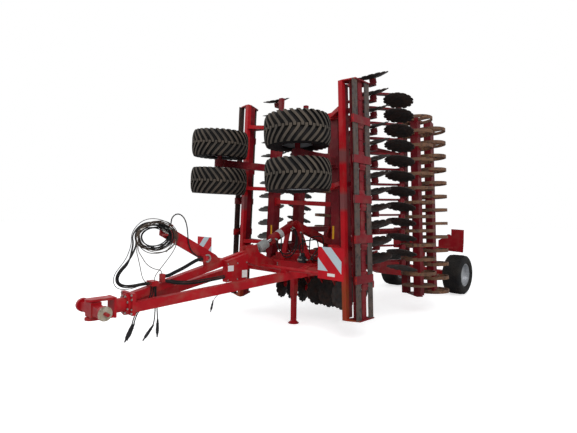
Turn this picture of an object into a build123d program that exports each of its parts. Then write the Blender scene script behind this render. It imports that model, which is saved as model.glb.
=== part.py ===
from build123d import *
import os
from math import cos, hypot, pi, radians, sin, sqrt, tan

# Folding disc harrow, stored as it parks: wings folded up, jack and road wheels on the ground.
# Millimetres. +X is the machine's left, +Z is up and the hitch points along -Y.
# While modelling, Y is counted from the front guard tubes; save() shifts it to the origin.

# Overall places
HITCH_Y = -2940
FORK_NOSE = 85
AXLE_Y = 4741
TYRE_RADIUS = 437
CENTRE_Y = (HITCH_Y - FORK_NOSE + AXLE_Y + TYRE_RADIUS) / 2
RUNNING_GAP = 0.3
SIDE_GAP = 5

# Fold of the wings
HINGE_X = 750
HINGE_Z = 910
FOLD_ANGLE = 92.5
HINGE_PIN_RADIUS = 28
HINGE_EYE_RADIUS = 60
LUG_THICKNESS = 22

# Main beams
BEAM = 150
BEAM_Z = 1010
BEAM_TOP = BEAM_Z + BEAM / 2
BEAM_UNDER = BEAM_Z - BEAM / 2
CENTRE_BEAM_END = 555
WING_BEAM_START = 890
WING_BEAM_Z = 925
WING_TOP = WING_BEAM_Z + BEAM / 2
WING_UNDER = WING_BEAM_Z - BEAM / 2
RAIL_X = 190
RAIL_WIDTH = 80
RAIL_HEIGHT = 120
RAIL_Z = 940
OUTRIGGER_WIDTH = 65
OUTRIGGER_HEIGHT = 75

# Discs and their arms
DISC_PITCH = 250
DISC_RADIUS = 245
DISC_DISH = 45
NOTCH_COUNT = 14
NOTCH_RADIUS = 27
DISC_THICKNESS = 8
DISC_ANGLE = 17
DISC_Z = 500
HUB_RADIUS = 52
HUB_LENGTH = 72
ARM_OFFSET = 75
ARM_THICKNESS = 30
WING_DISC_COUNT = 12

# Disc rows: beam place, disc place on a wing and in the middle, concave side on the left half,
# first wing disc, wing beam end
ROWS = {
    "front": dict(beam_y=360, row_y=720, centre_y=600, side=1, first=875, beam_end=3090),
    "rear": dict(beam_y=1000, row_y=1500, centre_y=1500, side=-1, first=750, beam_end=3420),
}
CENTRE_DISCS = {"front": (125, 375, 625), "rear": (0, 250, 500)}
CROSS_MEMBERS = (1000, 2150, 3030)
CROSS_WIDTH = 100

# Levelling tool across the front of a wing
GUARD_TUBE = 70
GUARD_Z = 553
TOOL_START = 105
TOOL_END = 3435
TOOL_TUBE = 70
TOOL_Y = 165
TOOL_Z = 400
BLADE_WIDTH = 112
BLADE_INNER = 88
BLADE_THICKNESS = 12
BLADE_COUNT = 6
CLAMP_WIDTH = 110
CLAMP_THICKNESS = 10
CLAMP_WEB = 20
TOOL_ARMS = (1085, 2000, 3050)
TOOL_ARM_WIDTH = 60
END_PLATE = 16

# Gauge wheels
TYRE_WIDTH = 400
TYRE_SIDES = 32
LUG_COUNT = 13
LUG_HEIGHT = 24
LUG_WIDTH = 34
LUG_SLANT = 26
RIM_RADIUS = 200
ROAD_RIM_RADIUS = 252
RIM_INSET = 30
GAUGE_Y = -710
GAUGE_Z = 753
GAUGE_X = 2355
GAUGE_SPACING = 574
GAUGE_ARM_WIDTH = 110
GAUGE_ARM_HEIGHT = 130
AXLE_RADIUS = 35
STUB_REACH = 70

# Packer rollers
ROLLER_Z = 620
RING_RADIUS = 300
RING_BAND = 55
RING_WALL = 14
RING_PITCH = 250
ROLLER_TUBE = 135
ROLLER_START = 125
ROLLER_END = 3350
ROLLERS = {
    "front": dict(y=2300, first_ring=550, rings=12, end_disc=330),
    "rear": dict(y=2840, first_ring=175, rings=13, end_disc=None),
}
PACKER_Z = 1010
PACKER_BEAM_Y = 2570
PACKER_BEAM = 120
PACKER_ARMS = (1300, 2700)
BEARING_PLATE = 15
BEARING_RADIUS = 75
JOURNAL_RADIUS = 30

# Brace between the folded wings
BRACE_X = 1790
BRACE_GAP = 18
BRACE_WIDTH = 70

# Fold cylinders
FOLD_BASE_X = 60
FOLD_BASE_Z = 1100
FOLD_Y = 655
FOLD_LUG = (150, 150)
FOLD_PIN = 18

# Drawbar
PIVOT_Y = -200
PIVOT_Z = 920
PIVOT_X = 580
PIVOT_BAR_DEPTH = 150
PIVOT_BAR_HEIGHT = 140
PIVOT_BAR_TOP = 980
PIVOT_EYE_RADIUS = 75
DRAWBAR_WIDTH = 95
DRAWBAR_HEIGHT = 108
DRAWBAR_FRONT = (100, -2540, 680)
FLANGE_Y = -2560
FLANGE_THICKNESS = 40
TOP_TUBE_WIDTH = 90
TOP_TUBE_HEIGHT = 90
TOP_TUBE_FRONT = (0, -2540, 775)
TOP_TUBE_REAR = (0, -815, 1176)
DRAWBAR_UP = 8
DRAWBAR_DOWN = 4
TOWER_EYE = (0, 120, 1565)
DRAWBAR_EYE = (0, -740, 1169)
GUSSET_THICKNESS = 14
CLIP_RADIUS = 72
CLIP_STACK = (140, 300)
KNUCKLE = 180
EYE_WIDTH = 60
CYLINDER_PIN = 22
OPEN_PIN_GAP = 1.6
PIVOT_PIN = 32
CHEEK = 20
FLANGE_WIDTH = 290
FLANGE_HEIGHTS = (590, 832)

# Valve box and hose mast
VALVE_DEPTH = 90
MAST_THICKNESS = 30
MAST_FOOT_Y = -1400
MAST_TIP = (-2170, 1510)

# Hoses: points of each route, in the order it runs, and its radius
COIL_MIDDLE = (-2290, 1440)
COIL_OUTER = (262, 200)
COIL_INNER = (168, 108)
COIL_THICKNESS = 100
COIL_PEG = (-2170, 1468)
BUNDLE_RADIUS = 20
HOSE_RADIUS = 8
LEAD_RADIUS = 4
RUN_RADIUS = 22
PLUG_RADIUS = 19
NOZZLE_RADIUS = 9
NOZZLE_LENGTH = 30
CLAMP_X = (-35, 106)
CLAMP_Y = (-2330, -2250)
CLAMP_Z = (880, 935)
CORDS = {
    "hose_bundle": dict(radius=BUNDLE_RADIUS, points=[
        (70, -2468, 1345), (70, -2512, 1282), (70, -2560, 1218), (69, -2616, 1152), (66, -2676, 1096),
        (62, -2718, 1030),
        (58, -2716, 964), (52, -2670, 920), (46, -2604, 902), (38, -2530, 898), (31, -2460, 902),
        (28, -2395, 907), (28, -2330, 907)]),
    "hose_tail_front": dict(radius=HOSE_RADIUS, plug=110, points=[
        (62, -2312, 880), (62, -2312, 810), (58, -2332, 738), (46, -2376, 678), (34, -2434, 632),
        (24, -2480, 574), (16, -2502, 510), (12, -2514, 450), (10, -2538, 395)]),
    "hose_tail_middle": dict(radius=HOSE_RADIUS, plug=95, points=[
        (90, -2290, 880), (90, -2290, 805), (82, -2279, 725), (70, -2270, 640), (56, -2267, 560),
        (46, -2266, 485), (40, -2278, 415), (36, -2318, 362)]),
    "hose_tail_rear": dict(radius=HOSE_RADIUS, plug=120, points=[
        (64, -2262, 880), (64, -2262, 805), (57, -2252, 720), (45, -2236, 635), (36, -2226, 550),
        (30, -2216, 470), (26, -2215, 400)]),
    "plug_lead": dict(radius=LEAD_RADIUS, plug=60, points=[
        (90, -1262, 820), (90, -1262, 775), (88, -1284, 730), (82, -1318, 694), (75, -1362, 668),
        (68, -1408, 640),
        (62, -1440, 600), (58, -1455, 560), (56, -1464, 520)]),
    "mast_hose": dict(radius=HOSE_RADIUS, points=[
        (32, -2060, 1585), (32, -2060, 1640), (32, -2030, 1690), (32, -1980, 1716), (32, -1926, 1706),
        (32, -1880, 1665), (32, -1850, 1605), (32, -1834, 1535), (31, -1825, 1460), (30, -1818, 1385),
        (30, -1800, 1312), (32, -1768, 1250), (38, -1724, 1206), (60, -1686, 1174), (60, -1640, 1174)]),
    "hose_run": dict(radius=RUN_RADIUS, points=[
        (80, -1640, 1146), (80, -1702, 1146), (81, -1775, 1118), (82, -1845, 1086), (82, -1915, 1055),
        (81, -1985, 1030), (80, -2055, 1004), (80, -2112, 980), (80, -2170, 980)]),
}

# Hitch
HITCH_Z = 700
HITCH_PIN_RADIUS = 18.3
HITCH_SHOULDER = 300
HITCH_PIN_END = 375
GUIDE_RADIUS = 75
GUIDE_LENGTH = 45
NECK_RADIUS = 78
NECK_FLANGE_RADIUS = 118
CROSSBAR_BLOCK = 110

# Boards on the rail
BOARD_RAIL_Y = -600
BOARD_RAIL_Z = 985
BOARD_RAIL_RADIUS = 25
BOARD_SIZE = 400
BOARD_X = 1340
BOARD_Z = 1130
BOARD_THICKNESS = 4

# Jack
JACK_Y = 160
JACK_SLEEVE = 84
JACK_LEG = 68
JACK_FOOT = 85
JACK_TRAVEL = 300

# Undercarriage
AXLE_Z = TYRE_RADIUS
WHEEL_X = 780
LIFT_PIVOT_Y = 1400
LIFT_PIVOT_Z = 1000
LIFT_ARM_WIDTH = 180
LIFT_UP = 10
LIFT_BASE = (0, 1180, 1480)
LIFT_EYE = (0, 2500, 990)
AXLE_BEAM = 120


def bar(start, end, width, height, up=(0, 0, 1)):
    """Rectangular bar from start to end: width lies across, height lies along up."""
    start = Vector(*start)
    along = Vector(*end) - start
    plane = Plane(origin=start, x_dir=Vector(*up).cross(along), z_dir=along)
    return extrude(plane * Rectangle(width, height), amount=along.length)


def rod(start, end, radius):
    start = Vector(*start)
    along = Vector(*end) - start
    return extrude(Plane(origin=start, z_dir=along) * Circle(radius), amount=along.length)


def block(x, y, z):
    """Box from three pairs of lowest and highest values."""
    size = [high - low for low, high in (x, y, z)]
    middle = [(high + low) / 2 for low, high in (x, y, z)]
    return Pos(*middle) * Box(*size)


def plate_x(outline, x, thickness):
    """Plate at right angles to X, centred on x: the outline holds Y and Z."""
    plane = Plane(origin=(x, 0, 0), x_dir=(0, 1, 0), z_dir=(1, 0, 0))
    return extrude(plane * make_face(Polyline(*outline, close=True)), amount=thickness / 2, both=True)


def plate_y(outline, y, thickness):
    """Plate at right angles to Y, centred on y: the outline holds X and Z."""
    plane = Plane(origin=(0, y, 0), x_dir=(1, 0, 0), z_dir=(0, -1, 0))
    return extrude(plane * make_face(Polyline(*outline, close=True)), amount=thickness / 2, both=True)


def cross_pin(x, y, z, radius, width):
    """Pin or boss along X, centred on the point."""
    return Pos(x, y, z) * Rot(0, 90, 0) * Cylinder(radius, width)


def long_pin(x, y, z, radius, width):
    """Pin or boss along Y, centred on the point."""
    return Pos(x, y, z) * Rot(90, 0, 0) * Cylinder(radius, width)


def fuse(pieces):
    first, *others = pieces
    return first.fuse(*others) if others else first


def folded(shape):
    """The left wing's pieces are modelled spread out and turned up about the hinge."""
    hinge = Pos(HINGE_X, 0, HINGE_Z)
    return hinge * Rot(0, -FOLD_ANGLE, 0) * hinge.inverse() * shape


def mirrored(shape):
    return shape.mirror(Plane.YZ)


def save(name, pieces):
    """Write one node: its solids, moved so that the origin is under the machine's middle."""
    solids = [solid for piece in pieces for solid in piece.solids()]
    moved = [Pos(0, -CENTRE_Y, 0) * solid for solid in solids]
    shape = moved[0] if len(moved) == 1 else Compound(children=moved)
    export_step(shape, f"parts/{name}.step")


def save_wing(name, pieces):
    """Write a left wing node and its mirrored right wing twin."""
    left = [folded(piece) for piece in pieces]
    save(f"left_{name}", left)
    save(f"right_{name}", [mirrored(piece) for piece in left])


def turned(point, pivot, angle):
    """Point in a plane, turned about a pivot by degrees."""
    a, b = point[0] - pivot[0], point[1] - pivot[1]
    turn = radians(angle)
    return (pivot[0] + a * cos(turn) - b * sin(turn), pivot[1] + a * sin(turn) + b * cos(turn))


def distance(first, second):
    return hypot(second[0] - first[0], second[1] - first[1])


def ram(base, eye, side, barrel_radius, rod_radius, eye_radius, pin, neck, exposed, out, back):
    """Hydraulic cylinder between two pins: side is the pins' direction, out and back its travel."""
    base, eye, side = Vector(*base), Vector(*eye), Vector(*side)
    along = (eye - base).normalized()
    length = (eye - base).length
    barrel_end = length - eye_radius - exposed
    bore_start = neck + 20
    rod_start = barrel_end - out - 2 * rod_radius
    assert rod_start - back > bore_start, "cylinder too short for its travel"

    def across(centre, radius, width):
        return rod(tuple(centre - side * (width / 2)), tuple(centre + side * (width / 2)), radius)

    def run(first, last, radius):
        return rod(tuple(base + along * first), tuple(base + along * last), radius)

    barrel = run(neck, barrel_end, barrel_radius) + run(0, neck + 5, EYE_WIDTH / 2 - 2)
    barrel += across(base, eye_radius, EYE_WIDTH)
    barrel -= run(bore_start, barrel_end + 1, rod_radius + RUNNING_GAP)
    barrel -= across(base, pin + RUNNING_GAP, EYE_WIDTH + 2)
    piston_rod = run(rod_start, length, rod_radius) + across(eye, eye_radius, EYE_WIDTH)
    return barrel, piston_rod - across(eye, pin + OPEN_PIN_GAP, EYE_WIDTH + 2)


def notched_disc():
    """Dished disc with scallops around its rim, hollow side up, its rounded side's middle at the origin."""
    middle = DISC_RADIUS * 0.55
    rise = DISC_DISH * 0.3
    outline = [
        (0, 0), (middle, rise), (DISC_RADIUS, DISC_DISH), (DISC_RADIUS, DISC_DISH + DISC_THICKNESS),
        (middle, rise + DISC_THICKNESS), (0, DISC_THICKNESS),
    ]
    dish = revolve(Plane.XZ * make_face(Polyline(*outline, close=True)), Axis.Z, 360)
    notch = Pos(DISC_RADIUS + NOTCH_RADIUS * 0.35, 0, DISC_DISH) * Cylinder(NOTCH_RADIUS, 3 * DISC_DISH)
    return dish - [Rot(0, 0, 360 * i / NOTCH_COUNT) * notch for i in range(NOTCH_COUNT)]


NOTCHED_DISC = notched_disc()


def disc(x, y, side):
    """Disc of a row with its rounded side's middle at (x, y): side is +1 if its hollow faces +X."""
    return Pos(x, y, DISC_Z) * Rot(0, 0, -side * DISC_ANGLE) * Rot(0, side * 90, 0) * NOTCHED_DISC


def disc_arm(x, y, beam_y, under, side, on_outrigger):
    """Arm from the beam or the outrigger down to a disc's hub, on the disc's rounded side."""
    arm_x = x - side * ARM_OFFSET
    top = (beam_y - 55, beam_y + 55)
    if on_outrigger:
        top = (beam_y + BEAM / 2 + 4, beam_y + BEAM / 2 + OUTRIGGER_WIDTH)
    knee_z = (under + DISC_Z) / 2 + 60
    hub_y = y + HUB_RADIUS / 2
    outline = [
        (top[0], under),
        (top[1], under),
        (top[1] + (y - top[1]) * 0.45, knee_z + 40),
        (hub_y + 48, DISC_Z + 90),
        (hub_y + 48, DISC_Z - 20),
        (hub_y - 48, DISC_Z - 20),
        (hub_y - 55, DISC_Z + 60),
        (top[0] + (y - top[0]) * 0.3, knee_z),
    ]
    turn = radians(DISC_ANGLE)
    back = (-side * cos(turn), sin(turn))
    start = (x + back[0] * RUNNING_GAP, y + back[1] * RUNNING_GAP, DISC_Z)
    end = (x + back[0] * HUB_LENGTH, y + back[1] * HUB_LENGTH, DISC_Z)
    hub = rod(start, end, HUB_RADIUS)
    return plate_x(outline, arm_x, ARM_THICKNESS) + hub


def wing_disc_places(row):
    first = ROWS[row]["first"]
    return [first + i * DISC_PITCH for i in range(WING_DISC_COUNT)]


def row_of_discs(row, places):
    """Discs and arms of one row of a wing; the arms off the beam's ends hang on outriggers."""
    spec = ROWS[row]
    discs = [disc(x, spec["row_y"], spec["side"]) for x in places]
    arms = []
    for x in places:
        arm_x = x - spec["side"] * ARM_OFFSET
        off_beam = arm_x < WING_BEAM_START + ARM_THICKNESS or arm_x > spec["beam_end"] - ARM_THICKNESS
        arms.append(disc_arm(x, spec["row_y"], spec["beam_y"], WING_UNDER, spec["side"], off_beam))
    return discs, arms


def centre_rows():
    """Six front and five rear discs under the centre frame, thrown apart from the middle."""
    discs, arms = [], []
    for row, places in CENTRE_DISCS.items():
        spec = ROWS[row]
        for x in places:
            for half in (1, -1) if x else (1,):
                side = half * spec["side"]
                arm_x = abs(half * x - side * ARM_OFFSET)
                off_beam = arm_x > CENTRE_BEAM_END
                discs.append(disc(half * x, spec["centre_y"], side))
                arms.append(disc_arm(half * x, spec["centre_y"], spec["beam_y"], BEAM_UNDER, side, off_beam))
    return discs, arms


def hinge_plates(beam_y, start_x, under, top, offset):
    """Two plates from a beam's end to the hinge pin, at an offset each side of the beam's middle."""
    away = 1 if start_x > HINGE_X else -1
    reach = start_x + away * 40
    plates = []
    for half in (1, -1):
        y = beam_y + half * offset
        outline = [
            (reach, under + 20),
            (reach, top - 40),
            (start_x, top - 40),
            (HINGE_X, HINGE_Z + HINGE_EYE_RADIUS),
            (HINGE_X, HINGE_Z - HINGE_EYE_RADIUS),
            (start_x - away * 25, under + 8),
        ]
        plates.append(plate_y(outline, y, LUG_THICKNESS))
        plates.append(long_pin(HINGE_X, y, HINGE_Z, HINGE_EYE_RADIUS, LUG_THICKNESS))
    return plates


def centre_frame():
    pieces = []
    for row in ROWS.values():
        y = row["beam_y"]
        near, far = y - BEAM / 2, y + BEAM / 2
        pieces.append(block((-CENTRE_BEAM_END, CENTRE_BEAM_END), (near, far), (BEAM_UNDER, BEAM_TOP)))
        lugs = hinge_plates(y, CENTRE_BEAM_END, BEAM_UNDER, BEAM_TOP, 30)
        lugs.append(long_pin(HINGE_X, y, HINGE_Z, HINGE_PIN_RADIUS, 2 * 72))
        pieces += lugs + [mirrored(lug) for lug in lugs]
    front, rear = ROWS["front"]["beam_y"], ROWS["rear"]["beam_y"]
    rail_z = (RAIL_Z - RAIL_HEIGHT / 2, RAIL_Z + RAIL_HEIGHT / 2)
    for half in (1, -1):
        x = half * RAIL_X
        rail_x = (x - RAIL_WIDTH / 2, x + RAIL_WIDTH / 2)
        pieces.append(block(rail_x, (front + BEAM / 2, rear - BEAM / 2), rail_z))
    # Cross piece with the fold cylinders' base cheeks
    pieces.append(block((-RAIL_X, RAIL_X), (FOLD_Y - 60, FOLD_Y + 60), rail_z))
    for half in (1, -1):
        y = FOLD_Y + half * 42
        low, high = rail_z[1] - 5, FOLD_BASE_Z + 45
        outline = [(-120, low), (120, low), (110, high), (-110, high)]
        pieces.append(plate_y(outline, y, 14))
        pieces.append(long_pin(half * FOLD_BASE_X, FOLD_Y, FOLD_BASE_Z, FOLD_PIN, 110))
    # Bar behind the rear beam for the outer disc arms and the undercarriage
    bar_y = (rear + BEAM / 2, rear + BEAM / 2 + OUTRIGGER_WIDTH)
    pieces.append(block((-600, 600), bar_y, (BEAM_UNDER, BEAM_UNDER + 95)))
    lift_cheek = LIFT_ARM_WIDTH / 2 + SIDE_GAP + CHEEK / 2
    for x in (-lift_cheek, lift_cheek):
        outline = [
            (bar_y[0], BEAM_UNDER),
            (bar_y[0], BEAM_UNDER + 95),
            (LIFT_PIVOT_Y, LIFT_PIVOT_Z + 70),
            (LIFT_PIVOT_Y + 60, LIFT_PIVOT_Z + 40),
            (LIFT_PIVOT_Y + 60, LIFT_PIVOT_Z - 40),
            (LIFT_PIVOT_Y, LIFT_PIVOT_Z - 70),
        ]
        pieces.append(plate_x(outline, x, CHEEK))
    # Bar in front of the front beam, with the drawbar's forks and the jack below it
    bar_y = (front - BEAM / 2 - PIVOT_BAR_DEPTH, front - BEAM / 2)
    bar_z = (PIVOT_BAR_TOP - PIVOT_BAR_HEIGHT, PIVOT_BAR_TOP)
    fork = DRAWBAR_WIDTH / 2 + SIDE_GAP + CHEEK / 2
    bar_end = PIVOT_X + fork + CHEEK / 2
    pieces.append(block((-bar_end, bar_end), bar_y, bar_z))
    for x in (PIVOT_X - fork, PIVOT_X + fork, -PIVOT_X + fork, -PIVOT_X - fork):
        root = bar_y[0] + 10
        outline = [(root, bar_z[0]), (root, bar_z[1]), (PIVOT_Y, PIVOT_Z + 60), (PIVOT_Y, PIVOT_Z - 60)]
        pieces.append(plate_x(outline, x, CHEEK))
        pieces.append(cross_pin(x, PIVOT_Y, PIVOT_Z, 60, CHEEK))
    frame = fuse(pieces)
    frame -= cross_pin(0, PIVOT_Y, PIVOT_Z, PIVOT_PIN + RUNNING_GAP, 2 * bar_end + 2)
    lift_bore = cross_pin(0, LIFT_PIVOT_Y, LIFT_PIVOT_Z, PIVOT_PIN + RUNNING_GAP, 2 * lift_cheek + 2 * CHEEK)
    return [frame - lift_bore]


def cylinder_tower():
    """A-frame for the levelling cylinder's rear pin, with the undercarriage cylinder's base behind."""
    x, y, z = TOWER_EYE
    _, base_y, base_z = LIFT_BASE
    front, rear = ROWS["front"]["beam_y"], ROWS["rear"]["beam_y"]
    foot_y = front - BEAM / 2 - PIVOT_BAR_DEPTH * 0.65
    cheek = [(y - 45, z - 60), (y + 75, z - 60), (y + 75, z + 55), (y + 20, z + 72), (y - 45, z + 50)]
    pieces = [cross_pin(x, y, z, CYLINDER_PIN, 140), cross_pin(x, base_y, base_z, CYLINDER_PIN, 140)]
    for half in (1, -1):
        pieces.append(plate_x(cheek, half * 52, 16))
        strut_foot = (half * 300, foot_y, PIVOT_BAR_TOP - 20)
        pieces.append(bar((half * 82, y + 5, z + 35), strut_foot, 90, 24, up=(0, 1, 0)))
        pieces.append(bar((half * 58, y + 40, z - 5), (half * 58, base_y - 120, base_z - 240), 20, 110))
        pieces.append(plate_x(
            [(rear - 60, BEAM_TOP), (rear + 60, BEAM_TOP), (base_y + 50, base_z - 60),
             (base_y + 50, base_z + 50), (base_y - 60, base_z + 50), (base_y - 160, base_z - 140)],
            half * 52, 24))
    frame = centre_frame()[0]
    return [fuse(pieces) - frame]


def jack_sleeve():
    """Square sleeve under the pivot bar, with flared gussets at its top."""
    outer, inner = JACK_SLEEVE / 2, JACK_LEG / 2 + RUNNING_GAP
    top = PIVOT_BAR_TOP - PIVOT_BAR_HEIGHT
    sleeve = block((-outer, outer), (JACK_Y - outer, JACK_Y + outer), (430, top))
    flare = [(-outer - 55, top), (outer + 55, top), (outer + 45, top - 70), (outer, top - 160),
             (-outer, top - 160), (-outer - 45, top - 70)]
    sleeve += plate_y(flare, JACK_Y, 16)
    return [sleeve - block((-inner, inner), (JACK_Y - inner, JACK_Y + inner), (400, top - 12))]


def jack_leg():
    """Square leg with a round foot on a short cone."""
    half = JACK_LEG / 2
    leg = block((-half, half), (JACK_Y - half, JACK_Y + half), (12, 520))
    leg += Pos(0, JACK_Y, 6) * Cylinder(JACK_FOOT, 12)
    return [leg + Pos(0, JACK_Y, 12 + 22) * Cone(JACK_FOOT - 8, half, 44)]


def drawbar_tube_z(y):
    """Height of the lower drawbar tubes' middle line at y."""
    _, front_y, front_z = DRAWBAR_FRONT
    return front_z + (PIVOT_Z - front_z) * (y - front_y) / (PIVOT_Y - front_y)


def drawbar_tubes():
    """The two lower tubes, each with a straight knuckle that sits between its fork's cheeks."""
    knuckle_y = PIVOT_Y - KNUCKLE
    tubes = []
    for half in (1, -1):
        x = half * PIVOT_X
        front = (half * DRAWBAR_FRONT[0], DRAWBAR_FRONT[1], DRAWBAR_FRONT[2])
        overlap = (x, knuckle_y + 40, drawbar_tube_z(knuckle_y + 40))
        tubes.append(bar(front, overlap, DRAWBAR_WIDTH, DRAWBAR_HEIGHT))
        knuckle = (x, knuckle_y, drawbar_tube_z(knuckle_y))
        tubes.append(bar(knuckle, (x, PIVOT_Y, PIVOT_Z), DRAWBAR_WIDTH, 120))
        tubes.append(cross_pin(x, PIVOT_Y, PIVOT_Z, PIVOT_EYE_RADIUS, DRAWBAR_WIDTH))
        tubes.append(cross_pin(x, PIVOT_Y, PIVOT_Z, PIVOT_PIN, DRAWBAR_WIDTH + 2 * SIDE_GAP + 2 * CHEEK + 16))
    return tubes


def drawbar_frame():
    """Two lower tubes and a top tube between the front flange and the pivots."""
    _, y, z = DRAWBAR_EYE
    cross_y = PIVOT_Y - KNUCKLE + 50
    cross_z = drawbar_tube_z(cross_y)
    flange_y = (FLANGE_Y - FLANGE_THICKNESS / 2, FLANGE_Y + FLANGE_THICKNESS / 2)
    gusset_x = EYE_WIDTH / 2 + SIDE_GAP + GUSSET_THICKNESS / 2
    pieces = drawbar_tubes()
    # Clamps for the hoses on the top tube
    run_end = CORDS["hose_run"]["points"][-1]
    clip_y = (run_end[1] - 40, run_end[1])
    pieces += [
        block(CLAMP_X, CLAMP_Y, CLAMP_Z),
        block((CLAMP_X[0], TOP_TUBE_WIDTH / 2 - 5), CLAMP_Y, (CLAMP_Z[0] - 50, CLAMP_Z[0] + 5)),
        block((TOP_TUBE_WIDTH / 2 - 5, run_end[0] + 30), clip_y, (run_end[2] - 65, run_end[2] + 30)),
    ]
    pieces += [
        cross_pin(0, y, z, CYLINDER_PIN, 2 * gusset_x + GUSSET_THICKNESS + 24),
        block((-FLANGE_WIDTH / 2, FLANGE_WIDTH / 2), flange_y, FLANGE_HEIGHTS),
        bar(TOP_TUBE_FRONT, TOP_TUBE_REAR, TOP_TUBE_WIDTH, TOP_TUBE_HEIGHT),
        bar((-PIVOT_X, cross_y, cross_z), (PIVOT_X, cross_y, cross_z), 90, 90),
    ]
    # Gusset plates from the top tube's end down to the cross bar, with the levelling rod's eye between
    outline = [
        (y - 150, z + 96), (y + 54, z + 123), (y + 92, z + 10), (cross_y + 50, cross_z + 100),
        (cross_y + 40, cross_z - 30), (cross_y - 60, cross_z - 30), (y - 130, z - 120),
    ]
    for half in (1, -1):
        pieces.append(plate_x(outline, half * gusset_x, GUSSET_THICKNESS))
    hole = cross_pin(0, BOARD_RAIL_Y, BOARD_RAIL_Z, BOARD_RAIL_RADIUS + RUNNING_GAP, 4 * gusset_x)
    return [fuse(pieces) - hole]


def valve_panel():
    """Sheet box on the left of the top tube."""
    panel = [(-1290, 820), (-930, 820), (-930, top_tube_z(-930, 1) - 15), (-1290, top_tube_z(-1290, 1) - 15)]
    return [plate_x(panel, TOP_TUBE_WIDTH / 2 + VALVE_DEPTH / 2, VALVE_DEPTH)]


def top_tube_z(y, side):
    """Height of the top tube's upper (side 1) or lower (side -1) face at y."""
    _, front_y, front_z = TOP_TUBE_FRONT
    _, rear_y, rear_z = TOP_TUBE_REAR
    slope = (rear_z - front_z) / (rear_y - front_y)
    return front_z + slope * (y - front_y) + side * TOP_TUBE_HEIGHT / 2 * sqrt(1 + slope ** 2)


def hose_mast():
    """Flat arm that leans forward over the top tube and carries the hoses."""
    foot_y, knee_y = MAST_FOOT_Y, MAST_FOOT_Y - 160
    tip_y, tip_z = MAST_TIP
    outline = [
        (knee_y, top_tube_z(knee_y, 1)),
        (foot_y + 90, top_tube_z(foot_y + 90, 1)),
        (foot_y + 20, 1180),
        (tip_y + 60, tip_z + 70),
        (tip_y - 10, tip_z + 40),
        (tip_y - 20, tip_z - 50),
        (knee_y - 10, 1115),
    ]
    arm = plate_x(outline, 0, MAST_THICKNESS)
    face = MAST_THICKNESS / 2
    arm += cross_pin(face + COIL_THICKNESS / 2 + 10, *COIL_PEG, 12, COIL_THICKNESS + 30)
    hose, run = CORDS["mast_hose"]["points"], CORDS["hose_run"]["points"]
    arm += block((face - 1, 48), (hose[0][1] - 22, hose[0][1] + 22), (hose[0][2] - 22, hose[0][2]))
    arm += block((face - 1, 110), (run[0][1], run[0][1] + 40), (run[0][2] - 36, run[0][2] + 44))
    return [arm - cross_pin(0, knee_y + 50, 1140, 30, 2 * MAST_THICKNESS)]


def hose_coil():
    """Outer shape of the hoses' coil on the mast's left face."""
    y, z = COIL_MIDDLE
    plane = Plane(origin=(MAST_THICKNESS / 2, y, z), x_dir=(0, 1, 0), z_dir=(1, 0, 0))
    return [extrude(plane * (Ellipse(*COIL_OUTER) - Ellipse(*COIL_INNER)), amount=COIL_THICKNESS)]


def cord_tube(name, points, radius):
    """Tube of straight runs joined by arcs as large as the runs allow."""
    places = [Vector(*point) for point in points]
    radii = []
    for before, corner, after in zip(places, places[1:], places[2:]):
        turn = radians((corner - before).get_angle(after - corner))
        shorter = min((corner - before).length, (after - corner).length)
        radii.append(0.45 * shorter / tan(turn / 2))
    path = FilletPolyline(*points, radius=radii)
    tube = sweep(Plane(origin=path @ 0, z_dir=path % 0) * Circle(radius), path=path)
    share = tube.volume / (pi * radius ** 2 * path.length)
    print(name, "length", round(path.length), "radii", [round(value) for value in radii])
    print("    share of section by length", round(share, 3))
    return tube


def plug(points, length):
    """Plug on a hose's end, in line with its last run, with a thinner nozzle."""
    before, end = Vector(*points[-2]), Vector(*points[-1])
    along = (end - before).normalized()
    body = rod(tuple(end), tuple(end + along * length), PLUG_RADIUS)
    nozzle = (tuple(end + along * length), tuple(end + along * (length + NOZZLE_LENGTH)))
    return body + rod(*nozzle, NOZZLE_RADIUS)


def board_rail():
    """Cross tube on the drawbar's lower tubes, with a saddle on each."""
    seats = fuse(drawbar_tubes())
    rail = cross_pin(0, BOARD_RAIL_Y, BOARD_RAIL_Z, BOARD_RAIL_RADIUS, 2 * (BOARD_X + 150))
    slope_x = (PIVOT_X - DRAWBAR_FRONT[0]) / (PIVOT_Y - KNUCKLE - DRAWBAR_FRONT[1])
    seat_x = DRAWBAR_FRONT[0] + slope_x * (BOARD_RAIL_Y - DRAWBAR_FRONT[1])
    for half in (1, -1):
        x = half * seat_x
        y = (BOARD_RAIL_Y - 35, BOARD_RAIL_Y + 35)
        rail += block((x - 40, x + 40), y, (BOARD_RAIL_Z - 70, BOARD_RAIL_Z))
    return [rail - seats]


def warning_boards():
    """Two square boards in front of the rail's ends."""
    y = BOARD_RAIL_Y - BOARD_RAIL_RADIUS - BOARD_THICKNESS
    half = BOARD_SIZE / 2
    boards = []
    for side in (1, -1):
        x = side * BOARD_X
        boards.append(block((x - half, x + half), (y, y + BOARD_THICKNESS), (BOARD_Z - half, BOARD_Z + half)))
    return boards


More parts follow.
